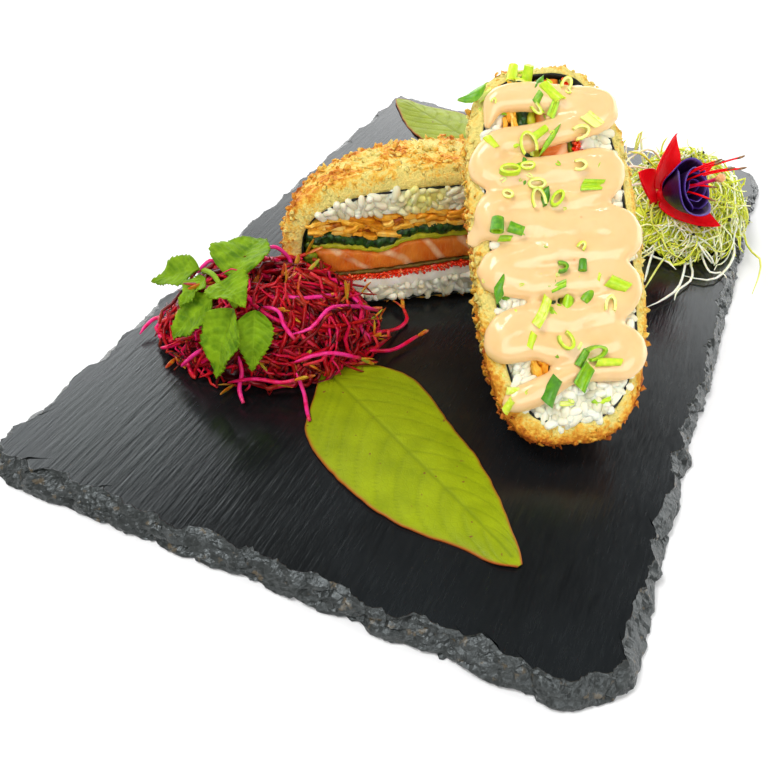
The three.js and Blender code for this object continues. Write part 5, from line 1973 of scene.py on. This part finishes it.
def seed_leaf_finish():
    finish = Finish("Beet seed leaves", roughness=0.35, specular=0.3, subsurface=0.1, reach=0.6)
    where = finish.place()
    tone = finish.plus(finish.kept("tone"), finish.uneven(where, 0.5, 2.0, 0.3))
    colours = (0.0, "7c1418"), (0.35, "b43418"), (0.65, "c8741a"), (0.9, "b99a26"), (1.0, "8f9a2c")
    return finish.finished(finish.ramp(tone, *colours), where, 1.2, 2.0, 0.1)


FLOWER_FOOT = np.array([55.9, 57.0, 28.2])
FLOWER_HEADING, FLOWER_PITCH = -24.0, 33.0


def flower_axes():
    """Columns down, sideways and out of the flower's mouth."""
    heading, pitch = math.radians(FLOWER_HEADING), math.radians(FLOWER_PITCH)
    out = math.cos(pitch) * heading_vector(heading) + math.sin(pitch) * UP
    side = np.cross(UP, heading_vector(heading))
    return np.stack([np.cross(side, out), side, out], -1)


def pressed_under_flower(paths):
    """The stems round the flower, pushed back behind its sepals."""
    out = flower_axes()[:, 2]
    gap = paths - FLOWER_FOOT
    forward = gap @ out
    away = np.linalg.norm(gap - forward[..., None] * out, axis=-1)
    over = np.maximum(forward + 1.8 - 0.026 * away**2, 0) * smooth_step(25, 20, away)
    return paths - over[..., None] * out


class PART_OT_leek_sprouts(bpy.types.Operator):
    """Build the heap of leek sprouts with their black seeds"""

    bl_idname = "part.leek_sprouts"
    bl_label = "Leek Sprouts"

    def execute(self, context):
        settings = context.scene.sprout_settings
        rng = np.random.default_rng(67)
        finish = leek_finish()
        heap_core("leek_core", "leek_sprouts", 2.6, finish, "leek_sprouts", 8, 0.35)
        heap = Heap("leek_sprouts", 39.0, 27.0, 95.0, height=1.15)
        paths = pressed_under_flower(heap.tangle(settings.leek_stems, 11, 30.0, rng, 0.36))
        paths = np.concatenate([paths, even_paths([s[1:] for s in LEEK_STRAGGLERS], 11)])
        count = len(paths)
        tone = np.where(rng.random(count) < 0.42, rng.uniform(0.7, 1.0, count), rng.uniform(0.1, 0.6, count))
        radius = settings.leek_width / MM / 2
        width = radius * rng.uniform(0.7, 1.2, count)
        stray_width = radius * (0.9 + 0.5 * np.array([s[0] for s in LEEK_STRAGGLERS]))
        taper = ([0, 0.2, 0.8, 1], [0.6, 1.0, 0.9, 0.35])
        stems = heap_stems("leek_stems", paths, LEEK_STRAGGLERS, tone, width, stray_width, taper, 4)
        add_to_part(stems, finish, "leek_sprouts")
        self.seeds(paths, len(LEEK_STRAGGLERS), rng)
        return {"FINISHED"}

    def seeds(self, paths, strays, rng):
        """Black seeds near the ends of some stems, and of one straggler."""
        bpy.ops.mesh.primitive_ico_sphere_add(subdivisions=1, radius=0.5 * MM)
        seed = bpy.context.object
        with editing(seed):
            bpy.ops.transform.resize(value=(1.0, 0.75, 0.8))
            bpy.ops.transform.vertex_random(offset=0.09 * MM, seed=2)
        chosen = np.concatenate([rng.choice(len(paths) - strays, 80, replace=False), [len(paths) - 11]])
        places = paths[chosen, rng.integers(8, 11, len(chosen))] + rng.normal(0, 0.5, (len(chosen), 3))
        places[:, 2] = np.maximum(places[:, 2], board_top() + 0.8)
        sizes = rng.uniform(1.4, 2.2, len(places))
        turns = random_turns(rng, len(places))
        seeds = copies("leek_seeds", [Shape(seed)], places, turns, sizes, smooth=False)
        add_to_part(seeds, seed_finish(), "leek_sprouts")


def leek_finish():
    finish = Finish("Leek stems", roughness=0.3, specular=0.35, subsurface=0.3, reach=1.0)
    where = finish.place()
    tone = finish.plus(finish.kept("tone"), finish.uneven(where, 0.3, 2.0, 0.12))
    pale = finish.ramp(tone, (0.0, "b6c41c"), (0.3, "d8e22c"), (0.6, "e8ec74"), (1.0, "f8f8ea"))
    return finish.finished(pale, where, 1.5, 2.0, 0.06)


def seed_finish():
    return patchy_finish("Leek seeds", (0.8, 2.5), "0b0b0d", "232022", (3.0, 2.0, 0.2), roughness=0.5)


# ---------------------------------------------------------------- fuchsia flower

# direction round the stalk in degrees, length, and how far the sepal bends forward
SEPALS = ((34, 20.0, 13.5), (-126, 18.5, 6.5), (155, 19.5, 7.5), (97, 23.0, 9.0))
# direction in degrees, spread from the axis in degrees, length
STAMENS = (
    (180, 20, 25), (116, 30, 28), (100, 28, 27), (130, 15, 25), (75, 5, 18), (0, 15, 18), (150, 22, 22),
)


# each petal's start and sweep round the cup in degrees, and its width and length in shares of the cup's
PETALS = (
    (200, 215, 1.0, 1.0),
    (20, 200, 0.93, 0.93),
    (110, 230, 0.72, 1.06),
    (290, 250, 0.5, 1.0),
    (30, 270, 0.3, 0.92),
)


class FlowerSettings(bpy.types.PropertyGroup):
    sepal_red: colour_setting("Sepals", "The sepals' red", (1.0, 0.002, 0.008))
    cup_radius: length_setting("Cup", "Radius of the cup of petals", 8.8)
    cup_depth: length_setting("Depth", "Depth of the cup of petals", 14.5)


class PART_OT_flower(bpy.types.Operator):
    """Build the fuchsia: its sepals, rolled petals, stamens, pistil and tube"""

    bl_idname = "part.flower"
    bl_label = "Flower"

    def execute(self, context):
        settings = context.scene.flower_settings
        red = sepal_finish(tuple(settings.sepal_red))
        for number, (around, length, bend) in enumerate(SEPALS, start=1):
            sepal = self.sepal(f"sepal_{number}", around, length, bend)
            add_to_part(sepal, red, "flower_sepal", f"flower_sepal_{number}")
        self.petals(settings.cup_radius / MM, settings.cup_depth / MM)
        self.threads(red)
        route = FLOWER_FOOT + np.array([(0.8, -0.3, 0.5), (-2.2, 1.6, -2.6), (-2.5, 5.5, -7), (0, 10, -14)])
        radii = np.interp(np.linspace(0, 1, 14), [0, 0.5, 0.7, 1], [2.4, 1.5, 1.7, 1.0])[None]
        tube = strands("flower_tube", even_paths([route], 14), radii, 12)
        add_to_part(tube, red, "flower_sepal")
        return {"FINISHED"}

    def world(self, local):
        return local @ flower_axes().T + FLOWER_FOOT

    def sepal(self, name, around, length, bend):
        along = np.linspace(0, 1, 41)[:, None]
        side = np.linspace(-1, 1, 21)[None]
        half_width = 5.7 * np.sin(np.pi * (0.12 + 0.88 * along) ** 0.85) ** 0.75 * (1 - 0.25 * along**3)
        across = side * half_width
        out = bend * along**1.5 + 0.09 * across**2 * (0.5 + along) - 1.2 + 0.35 * np.sin(along * 7 + side * 2)
        ahead = heading_vector(math.radians(around))
        grid = grid_of(2.0 + along * length, across, out) @ np.array([ahead, np.cross(UP, ahead), UP])
        return sheet_piece(name, self.world(grid), self.world(grid - [0, 0, 0.55]), along=along)

    def petals(self, radius, depth):
        made = []
        up = np.linspace(0.02, 1, 19)[:, None]
        around = np.linspace(0, 1, 41)[None]
        from_middle = np.abs(2 * around - 1)
        flare = np.sin(np.pi / 2 * up) ** 0.75 + 0.13 * up**6
        rim = np.maximum(smooth_step(0.93, 1.0, up), smooth_step(0.97, 1.0, from_middle))
        for start, sweep, grow, tall in PETALS:
            turn = np.radians(start + sweep * around)
            wave = 1 + 0.05 * up**2 * np.sin(around * 9 + start)
            r = radius * (grow * (1 + 0.16 * around)) * flare * wave
            z = depth * tall * up * (1 - 0.24 * from_middle**5) + 0.5 * up**3 * np.sin(around * 11 + start)
            grid = grid_of(r * np.cos(turn), r * np.sin(turn), z + 0.6)
            inside = self.world(grid * [0.955, 0.955, 1.0])
            made.append(sheet_piece("petal", self.world(grid), inside, rim=rim))
        cup = join_pieces("rolled_petals", made)
        add_to_part(cup, petal_finish(), "flower_corolla", "flower_corolla")

    def threads(self, red):
        """The stamens with their anthers, and the pistil with its knob."""
        t = np.linspace(0, 1, 14)[:, None]
        sag = np.array([1.0, 0.2, 0]) * (2.2 * np.sin(t * np.pi) - 1.2 * t**2)
        paths = []
        for around, spread, length in STAMENS:
            lean = math.radians(spread)
            ahead = math.sin(lean) * heading_vector(math.radians(around)) + math.cos(lean) * UP
            paths.append(self.world(np.array([0, 0, 2.0]) + ahead * length * t - sag * 0.8))
        paths = np.array(paths)
        stamens = strands("stamens", paths, np.full(paths.shape[:2], 0.36), 7)
        add_to_part(stamens, red, "flower_pistil")
        bpy.ops.mesh.primitive_uv_sphere_add(segments=12, ring_count=8, radius=0.5 * MM)
        anther = bpy.context.object
        with editing(anther):
            bpy.ops.transform.resize(value=(0.34, 0.24, 1.0))
        count = len(paths)
        lies = unit(paths[:, -1] - paths[:, -3]) + [0.0, 0.0, 0.12]
        turns = turns_onto(lies, np.zeros(count))
        anthers = copies("anthers", [Shape(anther)], paths[:, -1], turns, np.full(count, 3.4))
        add_to_part(anthers, anther_finish(), "flower_pistil")
        t = np.linspace(0, 1, 20)[:, None]
        path = np.array([-1.2, 2.2, 0]) * t + UP * (2 + 23 * t)
        radii = np.interp(t[:, 0], [0, 0.86, 0.9, 0.95, 1.0], [0.6, 0.66, 1.25, 1.75, 1.1])[None]
        pistil = strands("pistil", self.world(path)[None], radii, 14)
        add_to_part(pistil, pistil_finish(), "flower_pistil", "flower_pistil")


def sepal_finish(red):
    finish = Finish("Sepals", roughness=0.4, specular=0.12, subsurface=0.1, reach=0.8)
    where = finish.place()
    streaks = finish.noise(finish.stretched(where, (0.8, 0.8, 0.3)), 1.0, 3.0)
    body = finish.mix(finish.between(streaks, 0.3, 0.7), red, "ee0414")
    foot = finish.between(finish.kept("along"), 0.0, 0.25, 0.4, 0.0)
    return finish.finished(finish.mix(foot, body, "a00414"), where, 1.4, 3.0, 0.12)


def petal_finish():
    finish = Finish("Petals", roughness=0.4, specular=0.3)
    where = finish.place()
    body = finish.mottled(where, 3.5, 2.0, "180618", "2a1048")
    rimmed = finish.mix(finish.kept("rim"), body, "4a2a92")
    return finish.finished(rimmed, finish.stretched(where, (1.6, 1.6, 0.5)), 1.0, 3.0, 0.12)


def anther_finish():
    return patchy_finish("Anthers", (0.8, 3.0), "5a3a1c", "a07a48", (3.0, 2.0, 0.1), roughness=0.6)


def pistil_finish():
    finish = Finish("Pistil", roughness=0.35, subsurface=0.2, reach=0.8)
    where = finish.place()
    stalk = finish.mix(finish.noise(where, 0.6, 2.0), "c80a50", "e02a6c")
    knob = finish.mix(finish.noise(where, 1.6, 2.0), "e07a2c", "f2c890")
    colour = finish.mix(finish.between(finish.kept("along"), 0.86, 0.9), stalk, knob)
    return finish.finished(colour, where, 2.0, 2.0, 0.12)


# ---------------------------------------------------------------- stage


class StageSettings(bpy.types.PropertyGroup):
    camera_place: FloatVectorProperty(
        name="Camera",
        description="Where the camera stands",
        default=(0.0757046, -0.2597716, 0.1812907),
        subtype="XYZ",
        unit="LENGTH",
    )
    heading: angle_setting("Heading", "The camera's heading", 21.98983)
    pitch: angle_setting("Pitch", "How far it looks down", 40.11505)
    roll: angle_setting("Roll", "The camera's roll", -3.20196)
    lens: FloatProperty(name="Lens", description="Focal length in millimetres", default=41.056)
    room: FloatProperty(name="Room", description="Brightness of the room", default=0.1)
    backdrop: FloatProperty(name="Backdrop", description="Brightness of the backdrop", default=3.2)
    floor: colour_setting("Floor", "The floor's colour", (0.93, 0.93, 0.93))


# each light's name, place, width and height, and power
LIGHTS = (
    ("key", (-0.5, -0.5, 1.25), (0.6, 0.6), 13.0),
    ("front", (0.7, -1.1, 0.8), (1.0, 0.8), 11.0),
    ("strip", (0.1, -0.05, 1.5), (1.1, 0.025), 2.0),
    ("window", (-1.1, 0.58, 0.98), (0.85, 0.5), 4.2),
)
LIT_PLACE = Vector((0, 0, 0.03))


def camera_turn(heading, pitch, roll):
    """The camera's axes as columns, for a camera that looks along -Z with Y up."""
    level = math.cos(pitch)
    forward = Vector((-math.sin(heading) * level, math.cos(heading) * level, -math.sin(pitch)))
    right = Vector((math.cos(heading), math.sin(heading), 0))
    down = forward.cross(right)
    c, s = math.cos(roll), math.sin(roll)
    across, below = right * c + down * s, down * c - right * s
    return Matrix((across, -below, -forward)).transposed()


class PART_OT_stage(bpy.types.Operator):
    """Set the floor, the lights and the camera"""

    bl_idname = "part.stage"
    bl_label = "Stage"

    def execute(self, context):
        settings = context.scene.stage_settings
        scene = context.scene
        bpy.ops.object.select_all(action="DESELECT")
        bpy.ops.mesh.primitive_plane_add(size=14.0, location=(0, 0, -0.0002))
        floor = context.object
        floor.name = "floor"
        paint = bpy.data.materials.new("Floor")
        paint.use_nodes = True
        shader = paint.node_tree.nodes["Principled BSDF"]
        shader.inputs["Base Color"].default_value = (*settings.floor, 1)
        shader.inputs["Roughness"].default_value = 0.9
        shader.inputs["Specular IOR Level"].default_value = 0.1
        floor.data.materials.append(paint)
        for name, at, size, power in LIGHTS:
            bpy.ops.object.light_add(type="AREA", location=at)
            light = context.object
            light.name = name
            light.data.shape = "RECTANGLE"
            light.data.size, light.data.size_y = size
            light.data.energy = power
            light.rotation_euler = (LIT_PLACE - Vector(at)).to_track_quat("-Z", "Y").to_euler()
        scene.world = self.room(settings)
        bpy.ops.object.camera_add(location=settings.camera_place)
        camera = context.object
        camera.rotation_euler = camera_turn(settings.heading, settings.pitch, settings.roll).to_euler()
        camera.data.lens = settings.lens
        camera.data.sensor_width = 36.0
        camera.data.clip_start = 0.01
        scene.camera = camera
        scene.view_settings.view_transform = "Standard"
        return {"FINISHED"}

    def room(self, settings):
        """A dim room with a low, bright backdrop behind the board."""
        world = bpy.data.worlds.new("Room")
        world.use_nodes = True
        room = Nodes(world.node_tree)
        way = room.add("ShaderNodeSeparateXYZ", Vector=room.add("ShaderNodeTexCoord").outputs["Generated"])
        low = room.between(way.outputs["Z"], 0.62, 0.5)
        behind = room.between(way.outputs["Y"], -0.1, 0.35)
        strength = room.between(room.times(low, behind), 0.0, 1.0, settings.room, settings.backdrop)
        background = room.nodes["Background"]
        background.inputs["Color"].default_value = (1, 1, 1, 1)
        room.feed(background.inputs["Strength"], strength)
        return world


# ---------------------------------------------------------------- add-on

SETTINGS = {
    "slate_settings": SlateSettings,
    "crust_settings": CrustSettings,
    "filling_settings": FillingSettings,
    "sauce_settings": SauceSettings,
    "onion_settings": OnionSettings,
    "leaf_settings": LeafSettings,
    "sprout_settings": SproutSettings,
    "flower_settings": FlowerSettings,
    "stage_settings": StageSettings,
}
BUILDERS = (
    PART_OT_slate_board,
    PART_OT_crusts,
    PART_OT_nori_wraps,
    PART_OT_soft_layers,
    PART_OT_rice,
    PART_OT_crisp_flakes,
    PART_OT_roe,
    PART_OT_sauce,
    PART_OT_spring_onion,
    PART_OT_broad_leaves,
    PART_OT_mint,
    PART_OT_beet_sprouts,
    PART_OT_leek_sprouts,
    PART_OT_flower,
    PART_OT_stage,
)


class PART_PT_burger(bpy.types.Panel):
    """The pieces of the burger, and what can be changed about them"""

    bl_label = "Sushi Burger"
    bl_space_type = "VIEW_3D"
    bl_region_type = "UI"
    bl_category = "Burger"

    def draw(self, context):
        for builder in BUILDERS:
            self.layout.operator(builder.bl_idname)
        for key, kind in SETTINGS.items():
            box = self.layout.box()
            for name in kind.__annotations__:
                box.prop(getattr(context.scene, key), name)


def register():
    for kind in (*SETTINGS.values(), *BUILDERS, PART_PT_burger):
        bpy.utils.register_class(kind)
    for key, kind in SETTINGS.items():
        setattr(bpy.types.Scene, key, PointerProperty(type=kind))


def unregister():
    for key in SETTINGS:
        delattr(bpy.types.Scene, key)
    for kind in reversed((*SETTINGS.values(), *BUILDERS, PART_PT_burger)):
        bpy.utils.unregister_class(kind)


def main():
    register()
    for builder in BUILDERS:
        category, name = builder.bl_idname.split(".")
        getattr(getattr(bpy.ops, category), name)()


if __name__ == "__main__":
    main()
